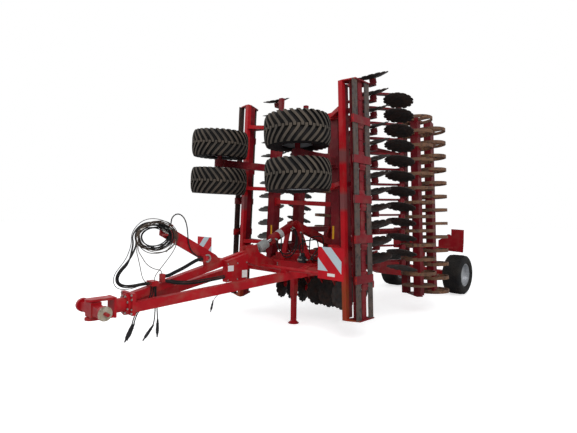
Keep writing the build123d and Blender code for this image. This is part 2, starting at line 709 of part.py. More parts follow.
def hitch_neck():
    """Swivel tube on the flange and the fork that holds the crossbar's upright pin."""
    start = FLANGE_Y - FLANGE_THICKNESS / 2 - RUNNING_GAP
    fork_rear = HITCH_Y + 210
    neck = rod((0, start, HITCH_Z), (0, fork_rear - 20, HITCH_Z), NECK_RADIUS)
    pieces = [neck, block((-90, 90), (fork_rear - 25, fork_rear), (HITCH_Z - 110, HITCH_Z + 110))]
    pieces.append(long_pin(0, start - 15, HITCH_Z, NECK_FLANGE_RADIUS, 30))
    front = HITCH_Y - FORK_NOSE
    for side in (1, -1):
        z = HITCH_Z + side * 97
        pieces.append(block((-70, 70), (front + 60, fork_rear), (z - 13, z + 13)))
        pieces.append(Pos(0, front + 70, z) * Cylinder(70, 26))
    pieces.append(Pos(0, HITCH_Y, HITCH_Z) * Cylinder(24, 220))
    return [fuse(pieces)]


def hitch_crossbar():
    """Crossbar on the upright pin, tapered to a guide disc and a lower link pin at each end."""
    size = CROSSBAR_BLOCK
    inner, outer = 78, HITCH_SHOULDER - GUIDE_LENGTH + 5
    middle = block((-80, 80), (HITCH_Y - size / 2, HITCH_Y + size / 2), (HITCH_Z - 78, HITCH_Z + 78))
    outline = [
        (-outer, -36), (-inner, -56), (inner, -56), (outer, -36),
        (outer, 36), (inner, 56), (-inner, 56), (-outer, 36)]
    arms = plate_y([(x, HITCH_Z + z) for x, z in outline], HITCH_Y, 90)
    crossbar = middle + arms + cross_pin(0, HITCH_Y, HITCH_Z, HITCH_PIN_RADIUS, 2 * HITCH_PIN_END)
    for side in (1, -1):
        guide_x = side * (HITCH_SHOULDER - GUIDE_LENGTH / 2)
        crossbar += cross_pin(guide_x, HITCH_Y, HITCH_Z, GUIDE_RADIUS, GUIDE_LENGTH)
    return [crossbar - Pos(0, HITCH_Y, HITCH_Z) * Cylinder(24 + RUNNING_GAP, 400)]


def clip_stack(rod_radius):
    """Stack of clips on the levelling rod, measured from the drawbar's eye."""
    eye = Vector(*DRAWBAR_EYE)
    along = (Vector(*TOWER_EYE) - eye).normalized()
    first, last = [tuple(eye + along * reach) for reach in CLIP_STACK]
    return [rod(first, last, CLIP_RADIUS) - rod(first, last, rod_radius + RUNNING_GAP)]


def undercarriage_arm():
    """Long middle arm between the rollers, with the axle beam at its rear end."""
    outline = [
        (LIFT_PIVOT_Y, LIFT_PIVOT_Z + 75),
        (2400, 905),
        (AXLE_Y - 120, 540),
        (AXLE_Y + 90, 520),
        (AXLE_Y + 90, 330),
        (AXLE_Y - 50, 260),
        (2730, 560),
        (1850, 800),
        (LIFT_PIVOT_Y, LIFT_PIVOT_Z - 75),
    ]
    arm = plate_x(outline, 0, LIFT_ARM_WIDTH)
    arm += cross_pin(0, LIFT_PIVOT_Y, LIFT_PIVOT_Z, 75, LIFT_ARM_WIDTH)
    arm += cross_pin(0, LIFT_PIVOT_Y, LIFT_PIVOT_Z, PIVOT_PIN, LIFT_ARM_WIDTH + 2 * SIDE_GAP + 2 * CHEEK + 16)
    arm += cross_pin(0, LIFT_EYE[1], LIFT_EYE[2], CYLINDER_PIN, EYE_WIDTH + 2 * SIDE_GAP + 44)
    beam_end = WHEEL_X - TYRE_WIDTH / 2 - 25
    stub = (beam_end + WHEEL_X + STUB_REACH) / 2
    arm += bar((-beam_end, AXLE_Y, AXLE_Z), (beam_end, AXLE_Y, AXLE_Z), AXLE_BEAM, AXLE_BEAM)
    for side in (1, -1):
        arm += cross_pin(side * stub, AXLE_Y, AXLE_Z, AXLE_RADIUS, 2 * (WHEEL_X + STUB_REACH - stub))
        _, y, z = LIFT_EYE
        x = side * (EYE_WIDTH / 2 + SIDE_GAP + 8)
        arm += plate_x([(y - 110, 880), (y + 110, 840), (y + 45, z + 45), (y - 45, z + 45)], x, 16)
    return [arm]


def rear_light_boards():
    """Sheet panels that carry the rear lights, on a cross tube above the axle."""
    y = AXLE_Y + 60
    pieces = [cross_pin(0, y, 1000, 30, 1300)]
    for side in (1, -1):
        outline = [
            (side * 300, 950), (side * 870, 930), (side * 880, 1160), (side * 880, 1440),
            (side * 600, 1450), (side * 600, 1270), (side * 480, 1270), (side * 300, 1180),
        ]
        pieces.append(plate_y(outline, y + 2, 24))
        pieces.append(long_pin(side * 540, y + 2, 1270, 60, 24))
        pieces.append(block((side * 60 - 25, side * 60 + 25), (y - 25, y + 25), (480, 1000)))
    return [fuse(pieces) - undercarriage_arm()[0]]


def tyre_body(tread_radius, rim_radius):
    """Flat-sided tyre around Z: rings of its section joined by straight walls."""
    half = TYRE_WIDTH / 2
    section = [
        (rim_radius + 40, -half + 12), (tread_radius - 75, -half), (tread_radius - 22, -half + 26),
        (tread_radius, -half + 80), (tread_radius, half - 80), (tread_radius - 22, half - 26),
        (tread_radius - 75, half), (rim_radius + 40, half - 12),
    ]
    rings = [Pos(0, 0, z) * RegularPolygon(radius, TYRE_SIDES) for radius, z in section]
    body = loft(rings, ruled=True)
    opening = RegularPolygon(rim_radius, TYRE_SIDES, major_radius=False)
    return body - extrude(opening, amount=TYRE_WIDTH, both=True)


def lugged_tyre():
    """Gauge wheel's tyre: slanting lugs on both halves of the tread, their tips at the tyre's radius."""
    tread = TYRE_RADIUS - LUG_HEIGHT
    body = tyre_body(tread, RIM_RADIUS)
    middle = TYRE_RADIUS - LUG_HEIGHT * 0.85
    reach = TYRE_WIDTH / 2 - 14
    slant = radians(LUG_SLANT)
    lugs = []
    for i in range(LUG_COUNT):
        for half in (1, -1):
            first = radians(360 * (i + (0.5 if half < 0 else 0)) / LUG_COUNT)
            start = (middle * cos(first), middle * sin(first), -half * 12)
            last = first + slant
            end_radius = middle - 14
            end = (end_radius * cos(last), end_radius * sin(last), half * reach)
            up = (cos(first + slant / 2), sin(first + slant / 2), 0)
            lugs.append(bar(start, end, LUG_WIDTH, 1.6 * LUG_HEIGHT, up=up))
    return body.fuse(*lugs)


LUGGED_TYRE = lugged_tyre()
ROAD_TYRE = tyre_body(TYRE_RADIUS, ROAD_RIM_RADIUS)


def wheel_place(x, y, z, side=1):
    """Turns a wheel that is modelled around Z so that its axle lies along X."""
    return Pos(x, y, z) * Rot(0, side * 90, 0)


def rim(x, y, z, side, rim_radius):
    """Rim with its dish towards the side named and a hub that takes the axle stub."""
    half = TYRE_WIDTH / 2 - RIM_INSET
    outer = rim_radius - RUNNING_GAP
    drum = Cylinder(outer, 2 * half) - Cylinder(outer - 14, 2 * half + 2)
    plate_at = half - 90
    drum += Pos(0, 0, plate_at) * Cylinder(outer - 5, 14)
    hub_length = plate_at + 90
    drum += Pos(0, 0, plate_at + 30 - hub_length / 2) * Cylinder(80, hub_length)
    drum -= Pos(0, 0, plate_at - 100) * Cylinder(AXLE_RADIUS + RUNNING_GAP, 200)
    return wheel_place(x, y, z, side) * drum


def wing_frame():
    """Front and rear beams with cross members, hinge plates and outriggers."""
    pieces = []
    for row in ROWS.values():
        y = row["beam_y"]
        sides = (y - BEAM / 2, y + BEAM / 2)
        pieces.append(block((WING_BEAM_START, row["beam_end"]), sides, (WING_UNDER, WING_TOP)))
        plates = hinge_plates(y, WING_BEAM_START, WING_UNDER, WING_TOP, 58.5)
        hole = long_pin(HINGE_X, y, HINGE_Z, HINGE_PIN_RADIUS + RUNNING_GAP, BEAM)
        pieces += [plate - hole for plate in plates]
        behind = (sides[1], sides[1] + OUTRIGGER_WIDTH)
        heights = (WING_UNDER, WING_UNDER + OUTRIGGER_HEIGHT)
        pieces.append(block((785, 1000), behind, heights))
        pieces.append(block((row["beam_end"] - 200, 3600), behind, heights))
    front, rear = ROWS["front"]["beam_y"], ROWS["rear"]["beam_y"]
    for x in CROSS_MEMBERS:
        span = (x - CROSS_WIDTH / 2, x + CROSS_WIDTH / 2)
        pieces.append(block(span, (front + BEAM / 2, rear - BEAM / 2), (WING_UNDER + 15, WING_TOP - 15)))
    lug_x, lug_z = HINGE_X + FOLD_LUG[0], HINGE_Z + FOLD_LUG[1]
    for half in (1, -1):
        outline = [
            (CROSS_MEMBERS[0] - 40, WING_UNDER + 20), (CROSS_MEMBERS[0] + 40, WING_UNDER + 20),
            (CROSS_MEMBERS[0] + 40, WING_TOP), (lug_x + 20, lug_z + 45), (lug_x - 40, lug_z + 30),
            (lug_x - 40, lug_z - 30),
        ]
        pieces.append(plate_y(outline, FOLD_Y + half * (EYE_WIDTH / 2 + SIDE_GAP + 8), 16))
    return [fuse(pieces)]


def tool_frame():
    """Guard tube, tool tube, clamps, end plates and the arms that carry them on the front beam."""
    length = (TOOL_START + END_PLATE, TOOL_END - END_PLATE)
    half = GUARD_TUBE / 2
    pieces = [
        block(length, (-half, half), (GUARD_Z - half, GUARD_Z + half)),
        block(length, (TOOL_Y - half, TOOL_Y + half), (TOOL_Z - half, TOOL_Z + half)),
    ]
    blade_edge = TOOL_Y + BLADE_INNER + BLADE_WIDTH + 6
    outline = [
        (-half, GUARD_Z - half), (-half, GUARD_Z + half), (half, GUARD_Z + half),
        (blade_edge - 35, TOOL_Z + 30), (blade_edge, TOOL_Z - 15), (blade_edge, TOOL_Z - 70), (20, TOOL_Z - 70),
    ]
    for x in (TOOL_START + END_PLATE / 2, TOOL_END - END_PLATE / 2):
        pieces.append(plate_x(outline, x, END_PLATE))
    under = TOOL_Z - TOOL_TUBE / 2
    clamp_y = (2 * TOOL_Y - blade_edge, blade_edge)
    for x in clamp_places():
        span = (x - CLAMP_WIDTH / 2, x + CLAMP_WIDTH / 2)
        web = (x - CLAMP_WEB / 2, x + CLAMP_WEB / 2)
        lower = under - CLAMP_THICKNESS - BLADE_THICKNESS
        pieces.append(block(span, clamp_y, (under - CLAMP_THICKNESS, under)))
        pieces.append(block(web, clamp_y, (lower, under)))
        pieces.append(block(span, clamp_y, (lower - CLAMP_THICKNESS, lower)))
    front = ROWS["front"]["beam_y"] - BEAM / 2
    for x in TOOL_ARMS:
        for foot in ((0, GUARD_Z + half - 5), (TOOL_Y, TOOL_Z + half - 5)):
            pieces.append(bar((x, *foot), (x, front - 45, WING_BEAM_Z), TOOL_ARM_WIDTH, 60, up=(0, 1, 0)))
        pieces.append(block((x - 45, x + 45), (front - 80, front), (WING_UNDER, WING_TOP)))
    return [fuse(pieces)]


def clamp_places():
    step = (TOOL_END - TOOL_START - 2 * END_PLATE) / BLADE_COUNT
    return [TOOL_START + END_PLATE + step * i for i in range(1, BLADE_COUNT)]


def tool_blades():
    """Spring steel blades between the clamps, a row each side of the tool tube."""
    ends = [TOOL_START + END_PLATE] + clamp_places() + [TOOL_END - END_PLATE]
    top = TOOL_Z - TOOL_TUBE / 2 - CLAMP_THICKNESS
    blades = []
    for first, last in zip(ends, ends[1:]):
        low = first + (CLAMP_WEB / 2 if first != ends[0] else 0)
        high = last - (CLAMP_WEB / 2 if last != ends[-1] else 0)
        for half in (-1, 1):
            y = sorted((TOOL_Y + half * BLADE_INNER, TOOL_Y + half * (BLADE_INNER + BLADE_WIDTH)))
            blades.append(block((low, high), y, (top - BLADE_THICKNESS, top)))
    return blades


def gauge_arm():
    """Arm from the front beam between the gauge wheels, with their axle."""
    front = ROWS["front"]["beam_y"] - BEAM / 2
    root = (GAUGE_X, front - 20, WING_BEAM_Z)
    arm = bar(root, (GAUGE_X, GAUGE_Y, GAUGE_Z), GAUGE_ARM_WIDTH, GAUGE_ARM_HEIGHT)
    arm += block((GAUGE_X - 90, GAUGE_X + 90), (front - 60, front), (WING_UNDER, WING_TOP))
    arm += cross_pin(GAUGE_X, GAUGE_Y, GAUGE_Z, 80, GAUGE_ARM_WIDTH)
    return [arm + cross_pin(GAUGE_X, GAUGE_Y, GAUGE_Z, AXLE_RADIUS, GAUGE_SPACING + 2 * STUB_REACH)]


def packer_frame():
    """Beam over the two rollers on two arms, with bearing legs at both ends."""
    half = PACKER_BEAM / 2
    rear = ROWS["rear"]["beam_y"] + BEAM / 2
    beam_y = (PACKER_BEAM_Y - half, PACKER_BEAM_Y + half)
    pieces = [block((ROLLER_START, ROLLER_END), beam_y, (PACKER_Z - half, PACKER_Z + half))]
    for x in PACKER_ARMS:
        pieces.append(block((x - 50, x + 50), (rear, beam_y[0]), (PACKER_Z - 55, PACKER_Z + 55)))
        pieces.append(block((x - 60, x + 60), (rear, rear + 20), (WING_UNDER + 10, PACKER_Z + 55)))
    for x in (ROLLER_START + BEARING_PLATE / 2, ROLLER_END - BEARING_PLATE / 2):
        for roller in ROLLERS.values():
            y = roller["y"]
            top = (PACKER_Z - half + 5, BEARING_RADIUS)
            outline = [
                (PACKER_BEAM_Y - top[1], top[0]), (PACKER_BEAM_Y + top[1], top[0]),
                (y + BEARING_RADIUS, ROLLER_Z), (y, ROLLER_Z - BEARING_RADIUS), (y - BEARING_RADIUS, ROLLER_Z),
            ]
            leg = plate_x(outline, x, BEARING_PLATE)
            pieces.append(leg - cross_pin(x, y, ROLLER_Z, JOURNAL_RADIUS + RUNNING_GAP, 40))
    return [fuse(pieces)]


def packer_roller(roller):
    """Square tube with open rings on flat spokes, and journals at both ends."""
    y = roller["y"]
    start = ROLLER_START + BEARING_PLATE + SIDE_GAP
    end = ROLLER_END - BEARING_PLATE - SIDE_GAP
    half = ROLLER_TUBE / 2
    pieces = [
        block((start, end), (y - half, y + half), (ROLLER_Z - half, ROLLER_Z + half)),
        rod((ROLLER_START, y, ROLLER_Z), (ROLLER_END, y, ROLLER_Z), JOURNAL_RADIUS),
    ]
    for i in range(roller["rings"]):
        x = roller["first_ring"] + i * RING_PITCH
        ring = cross_pin(x, y, ROLLER_Z, RING_RADIUS, RING_BAND)
        pieces.append(ring - cross_pin(x, y, ROLLER_Z, RING_RADIUS - RING_WALL, RING_BAND + 2))
        reach = RING_RADIUS - RING_WALL / 2
        for spoke in ((reach, 20), (20, reach)):
            span_y, span_z = (y - spoke[0], y + spoke[0]), (ROLLER_Z - spoke[1], ROLLER_Z + spoke[1])
            pieces.append(block((x - RING_BAND / 2 + 5, x + RING_BAND / 2 - 5), span_y, span_z))
    if roller["end_disc"]:
        pieces.append(cross_pin(roller["end_disc"], y, ROLLER_Z, RING_RADIUS, 12))
    return [fuse(pieces)]


def transport_brace():
    """Bar on the right wing that reaches the left wing's beam when both are folded."""
    y = ROWS["front"]["beam_y"]
    half = BRACE_WIDTH / 2
    lean = radians(FOLD_ANGLE)
    along, up = BRACE_X - HINGE_X, WING_TOP - HINGE_Z
    beam_x = HINGE_X + along * cos(lean) - up * sin(lean)
    bar_z = (WING_TOP, WING_TOP + 2 * beam_x - BRACE_GAP)
    brace = block((BRACE_X - half, BRACE_X + half), (y - half, y + half), bar_z)
    return brace + block((BRACE_X - 70, BRACE_X + 70), (y - 60, y + 60), (WING_TOP, WING_TOP + 14))


def closed_linkage(base, eye, hinge, angles):
    """How far a cylinder between base and eye lengthens when the eye turns about the hinge."""
    rest = distance(base, eye)
    return [distance(base, turned(eye, hinge, angle)) - rest for angle in angles]


os.makedirs("parts", exist_ok=True)

centre_discs, centre_arms = centre_rows()
save("centre_frame", centre_frame())
save("centre_disc_arms", centre_arms)
save("centre_discs", centre_discs)
save("cylinder_tower", cylinder_tower())
save("jack_sleeve", jack_sleeve())
save("jack_leg", jack_leg())
save("drawbar_frame", drawbar_frame())
save("valve_panel", valve_panel())
save("hose_mast", hose_mast())
save("hose_coil", hose_coil())
plugs = []
for name, cord in CORDS.items():
    save(name, [cord_tube(name, cord["points"], cord["radius"])])
    if "plug" in cord:
        plugs.append(plug(cord["points"], cord["plug"]))
save("hose_plugs", plugs)
save("board_rail", board_rail())
save("warning_boards", warning_boards())
save("hitch_neck", hitch_neck())
save("hitch_crossbar", hitch_crossbar())
save("undercarriage_arm", undercarriage_arm())
save("rear_light_boards", rear_light_boards())
for side, name in ((1, "left"), (-1, "right")):
    save(f"{name}_transport_tyre", [wheel_place(side * WHEEL_X, AXLE_Y, AXLE_Z) * ROAD_TYRE])
    save(f"{name}_transport_rim", [rim(side * WHEEL_X, AXLE_Y, AXLE_Z, side, ROAD_RIM_RADIUS)])

# Levelling cylinder between the drawbar and the tower: angles are the drawbar's, up then down
drawbar_turn = (-DRAWBAR_UP, DRAWBAR_DOWN)
drawbar_travel = closed_linkage(TOWER_EYE[1:], DRAWBAR_EYE[1:], (PIVOT_Y, PIVOT_Z), drawbar_turn)
barrel, piston_rod = ram(
    TOWER_EYE, DRAWBAR_EYE, (1, 0, 0), 70, 30, 42, CYLINDER_PIN, 105, 388,
    max(drawbar_travel), -min(drawbar_travel))
save("drawbar_cylinder_barrel", [barrel])
save("drawbar_cylinder_rod", [piston_rod])
save("depth_clips", clip_stack(30))

# Undercarriage cylinder between the tower's rear cheeks and the arm
lift_travel = closed_linkage(LIFT_BASE[1:], LIFT_EYE[1:], (LIFT_PIVOT_Y, LIFT_PIVOT_Z), (LIFT_UP, 0))
barrel, piston_rod = ram(
    LIFT_BASE, LIFT_EYE, (1, 0, 0), 62, 29, 45, CYLINDER_PIN, 90, 160, max(lift_travel), -min(lift_travel))
save("undercarriage_cylinder_barrel", [barrel])
save("undercarriage_cylinder_rod", [piston_rod])

# Fold cylinders, modelled at rest with the wings up
hinge = (HINGE_X, HINGE_Z)
open_lug = (HINGE_X + FOLD_LUG[0], HINGE_Z + FOLD_LUG[1])
rest_lug = turned(open_lug, hinge, FOLD_ANGLE)
fold_base = (FOLD_BASE_X, FOLD_BASE_Z)
fold_travel = closed_linkage(fold_base, rest_lug, hinge, (-FOLD_ANGLE, 0))
barrel, piston_rod = ram(
    (FOLD_BASE_X, FOLD_Y, FOLD_BASE_Z), (rest_lug[0], FOLD_Y, rest_lug[1]), (0, 1, 0),
    48, 24, 38, FOLD_PIN, 60, 20, max(fold_travel), 0)
save("left_fold_cylinder_barrel", [barrel])
save("left_fold_cylinder_rod", [piston_rod])
save("right_fold_cylinder_barrel", [mirrored(barrel)])
save("right_fold_cylinder_rod", [mirrored(piston_rod)])

# Wings
front_discs, front_arms = row_of_discs("front", wing_disc_places("front"))
rear_discs, rear_arms = row_of_discs("rear", wing_disc_places("rear"))
save_wing("wing_frame", wing_frame())
save_wing("disc_arms", front_arms + rear_arms)
save_wing("discs", front_discs + rear_discs)
save_wing("tool_frame", tool_frame())
save_wing("tool_blades", tool_blades())
save_wing("gauge_arm", gauge_arm())
save_wing("packer_frame", packer_frame())
for row, roller in ROLLERS.items():
    save_wing(f"{row}_roller", packer_roller(roller))
gauge_places = [(GAUGE_X + side * GAUGE_SPACING / 2, side) for side in (1, -1)]
save_wing("gauge_tyres", [wheel_place(x, GAUGE_Y, GAUGE_Z) * LUGGED_TYRE for x, _ in gauge_places])
save_wing("gauge_rims", [rim(x, GAUGE_Y, GAUGE_Z, side, RIM_RADIUS) for x, side in gauge_places])
save("transport_brace", [mirrored(folded(transport_brace()))])
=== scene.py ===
import math

import bmesh
import bpy
from mathutils import Matrix, Vector


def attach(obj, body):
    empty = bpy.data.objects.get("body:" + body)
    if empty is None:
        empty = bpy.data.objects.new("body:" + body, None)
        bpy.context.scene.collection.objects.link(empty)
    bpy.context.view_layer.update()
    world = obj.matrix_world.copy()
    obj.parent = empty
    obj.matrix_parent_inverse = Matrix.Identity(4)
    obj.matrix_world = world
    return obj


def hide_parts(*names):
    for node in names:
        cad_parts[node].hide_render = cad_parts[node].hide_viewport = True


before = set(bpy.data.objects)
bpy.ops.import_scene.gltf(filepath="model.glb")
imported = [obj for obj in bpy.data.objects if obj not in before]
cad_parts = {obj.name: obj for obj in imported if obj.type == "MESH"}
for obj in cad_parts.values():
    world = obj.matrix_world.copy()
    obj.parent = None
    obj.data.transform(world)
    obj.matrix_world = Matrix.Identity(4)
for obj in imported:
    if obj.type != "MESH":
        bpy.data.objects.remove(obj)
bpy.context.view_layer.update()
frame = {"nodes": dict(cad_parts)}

# Places in metres. Y is written from the guard tubes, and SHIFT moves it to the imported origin.
SHIFT = -1.0765
HINGE = (0.750, 0.910)
FOLD_ANGLE = math.radians(92.5)


def at(x, y, z):
    return Vector((x, y + SHIFT, z))


# Camera, fitted to the photograph
CAMERA_PLACE = at(4.493, -4.669, 1.731)
CAMERA_YAW = math.radians(43.852)
CAMERA_PITCH = math.radians(-0.308)
CAMERA_ROLL = math.radians(0.908)
LENS = 25.83
SENSOR = 36.0


def make_camera():
    data = bpy.data.cameras.new("camera")
    data.sensor_width = SENSOR
    data.lens = LENS
    data.clip_start = 0.1
    data.clip_end = 200
    camera = bpy.data.objects.new("camera", data)
    bpy.context.scene.collection.objects.link(camera)
    ahead = Vector((
        -math.sin(CAMERA_YAW) * math.cos(CAMERA_PITCH),
        math.cos(CAMERA_YAW) * math.cos(CAMERA_PITCH),
        math.sin(CAMERA_PITCH),
    ))
    right = ahead.cross(Vector((0, 0, 1))).normalized()
    up = right.cross(ahead)
    turn_right = right * math.cos(CAMERA_ROLL) + up * math.sin(CAMERA_ROLL)
    turn_up = up * math.cos(CAMERA_ROLL) - right * math.sin(CAMERA_ROLL)
    axes = Matrix((turn_right, turn_up, -ahead)).transposed()
    camera.matrix_world = Matrix.Translation(CAMERA_PLACE) @ axes.to_4x4()
    bpy.context.scene.camera = camera


def folded(side, x, y, z):
    """Where a point of a spread wing lies once it is folded; side is 1 on the left and -1 on the right."""
    out, up = x - HINGE[0], z - HINGE[1]
    turn_x, turn_z = math.cos(FOLD_ANGLE), math.sin(FOLD_ANGLE)
    return at(side * (HINGE[0] + out * turn_x - up * turn_z), y, HINGE[1] + out * turn_z + up * turn_x)


def wing_direction(side):
    """Direction of a wing's spread length once it is folded."""
    return Vector((side * math.cos(FOLD_ANGLE), 0, math.sin(FOLD_ANGLE)))


# Materials: each starts from a principled shader and the part's own coordinates

SHEEN = 0.18


class Finish:
    """A material with short calls for its nodes."""

    def __init__(self, name, metallic=0.0, roughness=0.5):
        self.material = bpy.data.materials.new(name)
        self.material.use_nodes = True
        self.tree = self.material.node_tree
        self.shader = self.tree.nodes["Principled BSDF"]
        self.shader.inputs["Metallic"].default_value = metallic
        self.shader.inputs["Roughness"].default_value = roughness
        self.shader.inputs["Specular IOR Level"].default_value = 0.5 if metallic else SHEEN
        self.place = self.tree.nodes.new("ShaderNodeTexCoord").outputs["Object"]

    def join(self, source, target):
        self.tree.links.new(source, target)

    def noise(self, scale, detail=4.0, roughness=0.55, stretch=None):
        node = self.tree.nodes.new("ShaderNodeTexNoise")
        node.inputs["Scale"].default_value = scale
        node.inputs["Detail"].default_value = detail
        node.inputs["Roughness"].default_value = roughness
        place = self.place
        if stretch:
            mapping = self.tree.nodes.new("ShaderNodeMapping")
            mapping.inputs["Scale"].default_value = stretch
            self.join(place, mapping.inputs["Vector"])
            place = mapping.outputs["Vector"]
        self.join(place, node.inputs["Vector"])
        return node.outputs["Fac"]

    def ramp(self, value, *stops):
        """Stops are pairs of a position and a grey level or a colour."""
        node = self.tree.nodes.new("ShaderNodeValToRGB")
        elements = node.color_ramp.elements
        while len(elements) < len(stops):
            elements.new(0.5)
        for element, (position, colour) in zip(elements, stops):
            element.position = position
            element.color = (colour, colour, colour, 1) if isinstance(colour, float) else (*colour, 1)
        self.join(value, node.inputs["Fac"])
        return node.outputs["Color"]

    def blend(self, share, first, second):
        """Mix of two colours, each a colour or a node's output."""
        node = self.tree.nodes.new("ShaderNodeMix")
        node.data_type = "RGBA"
        self.join(share, node.inputs["Factor"])
        for source, socket in ((first, node.inputs[6]), (second, node.inputs[7])):
            if isinstance(source, tuple):
                socket.default_value = (*source, 1)
            else:
                self.join(source, socket)
        return node.outputs[2]

    def times(self, first, second):
        node = self.tree.nodes.new("ShaderNodeMath")
        node.operation = "MULTIPLY"
        self.join(first, node.inputs[0])
        if isinstance(second, float):
            node.inputs[1].default_value = second
        else:
            self.join(second, node.inputs[1])
        return node.outputs[0]

    def most(self, first, second):
        node = self.tree.nodes.new("ShaderNodeMath")
        node.operation = "MAXIMUM"
        self.join(first, node.inputs[0])
        self.join(second, node.inputs[1])
        return node.outputs[0]

    def axis(self, name):
        node = self.tree.nodes.new("ShaderNodeSeparateXYZ")
        self.join(self.place, node.inputs[0])
        return node.outputs[name]

    def band(self, value, low, low_full, high_full, high):
        """A share that rises from low to low_full and falls from high_full to high."""
        rise = self.ranged(value, low, low_full)
        fall = self.ranged(value, high, high_full)
        return self.times(rise, fall)

    def ranged(self, value, start, end):
        node = self.tree.nodes.new("ShaderNodeMapRange")
        self.join(value, node.inputs["Value"])
        node.inputs["From Min"].default_value = start
        node.inputs["From Max"].default_value = end
        return node.outputs["Result"]

    def colour(self, source):
        self.join(source, self.shader.inputs["Base Color"])

    def rough(self, source):
        self.join(source, self.shader.inputs["Roughness"])

    def bumps(self, source, strength, distance):
        node = self.tree.nodes.new("ShaderNodeBump")
        node.inputs["Strength"].default_value = strength
        node.inputs["Distance"].default_value = distance
        self.join(source, node.inputs["Height"])
        self.join(node.outputs["Normal"], self.shader.inputs["Normal"])

    def worn_edges(self, radius):
        """A share that is high along sharp edges."""
        bevel = self.tree.nodes.new("ShaderNodeBevel")
        bevel.inputs["Radius"].default_value = radius
        bevel.samples = 4
        geometry = self.tree.nodes.new("ShaderNodeNewGeometry")
        dot = self.tree.nodes.new("ShaderNodeVectorMath")
        dot.operation = "DOT_PRODUCT"
        self.join(bevel.outputs["Normal"], dot.inputs[0])
        self.join(geometry.outputs["Normal"], dot.inputs[1])
        return self.ranged(dot.outputs["Value"], 0.98, 0.80)


def paint(name, bright, deep, roughness, dust=(0.23, 0.14, 0.10), dirt=0.35, wear=(0.10, 0.07, 0.06)):
    """Sprayed paint: cloudy tone, dust that gathers in patches, scratched edges."""
    coat = Finish(name, roughness=roughness)
    tone = coat.ramp(coat.noise(2.3), (0.35, bright), (0.68, deep))
    dusty = coat.times(coat.ramp(coat.noise(6.0, detail=8.0), (0.48, 0.0), (0.72, 1.0)), dirt)
    tone = coat.blend(dusty, tone, dust)
    chips = coat.times(coat.worn_edges(0.004), coat.ramp(coat.noise(34.0), (0.46, 0.0), (0.60, 1.0)))
    coat.colour(coat.blend(chips, tone, wear))
    coat.rough(coat.ramp(coat.noise(9.0), (0.3, roughness - 0.06), (0.7, roughness + 0.14)))
    coat.bumps(coat.noise(60.0, detail=3.0), 0.08, 0.002)
    return coat.material


def rusty_steel(name, base, rust, dark, roughness=0.55, metallic=0.55, scale=7.0):
    """Bare steel with rust in patches and dried soil."""
    steel = Finish(name, metallic=metallic, roughness=roughness)
    patches = steel.ramp(steel.noise(scale, detail=9.0, roughness=0.65), (0.40, 0.0), (0.60, 1.0))
    tone = steel.blend(patches, base, rust)
    soil = steel.ramp(steel.noise(scale * 2.6, detail=8.0), (0.50, 0.0), (0.66, 1.0))
    steel.colour(steel.blend(soil, tone, dark))
    steel.rough(steel.ramp(steel.noise(scale * 2.0), (0.3, roughness - 0.12), (0.7, roughness + 0.25)))
    steel.bumps(steel.noise(scale * 8.0, detail=6.0), 0.35, 0.002)
    return steel.material


RED = paint("red_paint", (0.42, 0.005, 0.011), (0.30, 0.003, 0.008), 0.42)
DARK_RED = paint("dark_red_paint", (0.30, 0.004, 0.010), (0.22, 0.003, 0.008), 0.45, dirt=0.15)


# Heights in metres on the folded guard tube, and the Y of its front face
RUBBED_PATCHES = ((2.46, 2.64), (1.80, 2.04))
PATCH_FADE = 0.03
RUST_TOP, RUST_FULL = 0.98, 0.62
GUARD_BACK, GUARD_FRONT = -1.00, -1.04
GREY_PRIMER = (0.13, 0.075, 0.075)
BRIGHT_RUST = (0.26, 0.055, 0.014)


def make_guard_paint():
    """The red paint again, with rust low on the folded tube and two rubbed grey patches higher up."""
    coat = Finish("guard_paint", roughness=0.42)
    tone = coat.ramp(coat.noise(2.3), (0.35, (0.50, 0.006, 0.012)), (0.68, (0.38, 0.004, 0.010)))
    dusty = coat.times(coat.ramp(coat.noise(6.0, detail=8.0), (0.48, 0.0), (0.72, 1.0)), 0.3)
    tone = coat.blend(dusty, tone, (0.20, 0.10, 0.07))
    height, front = coat.axis("Z"), coat.ranged(coat.axis("Y"), GUARD_BACK, GUARD_FRONT)
    for low, high in RUBBED_PATCHES:
        rubbed = coat.band(height, low - PATCH_FADE, low + PATCH_FADE, high - PATCH_FADE, high + PATCH_FADE)
        tone = coat.blend(coat.times(coat.times(rubbed, front), 0.75), tone, GREY_PRIMER)
    low_rust = coat.times(coat.ranged(height, RUST_TOP, RUST_FULL), front)
    streaks = coat.ramp(coat.noise(9.0, detail=9.0, stretch=(1, 1, 0.4)), (0.30, 0.35), (0.55, 1.0))
    coat.colour(coat.blend(coat.times(low_rust, streaks), tone, BRIGHT_RUST))
    coat.rough(coat.ramp(coat.noise(9.0), (0.3, 0.38), (0.7, 0.60)))
    coat.bumps(coat.noise(60.0, detail=3.0), 0.10, 0.002)
    return coat.material


GUARD_RED = make_guard_paint()
# The red paint made darker: painted shade on the folded wings, their roller and tool tubes, strips and
# clamps.
SHADED_RED = paint("shaded_red_paint", (0.21, 0.004, 0.011), (0.12, 0.003, 0.008), 0.45, dirt=0.2)
BLADE_STEEL = rusty_steel("blade_steel", (0.075, 0.060, 0.055), (0.115, 0.075, 0.060), (0.035, 0.030, 0.030))
DISC_STEEL = rusty_steel(
    "disc_steel", (0.012, 0.010, 0.010), (0.040, 0.021, 0.015), (0.006, 0.005, 0.005), 0.66, 0.1)
RING_STEEL = rusty_steel(
    "ring_steel", (0.125, 0.060, 0.034), (0.20, 0.095, 0.048), (0.055, 0.028, 0.020), 0.75, 0.1)
WORN_STEEL = rusty_steel(
    "worn_steel", (0.46, 0.42, 0.34), (0.36, 0.29, 0.20), (0.20, 0.15, 0.11), 0.55, 0.3, 12.0)


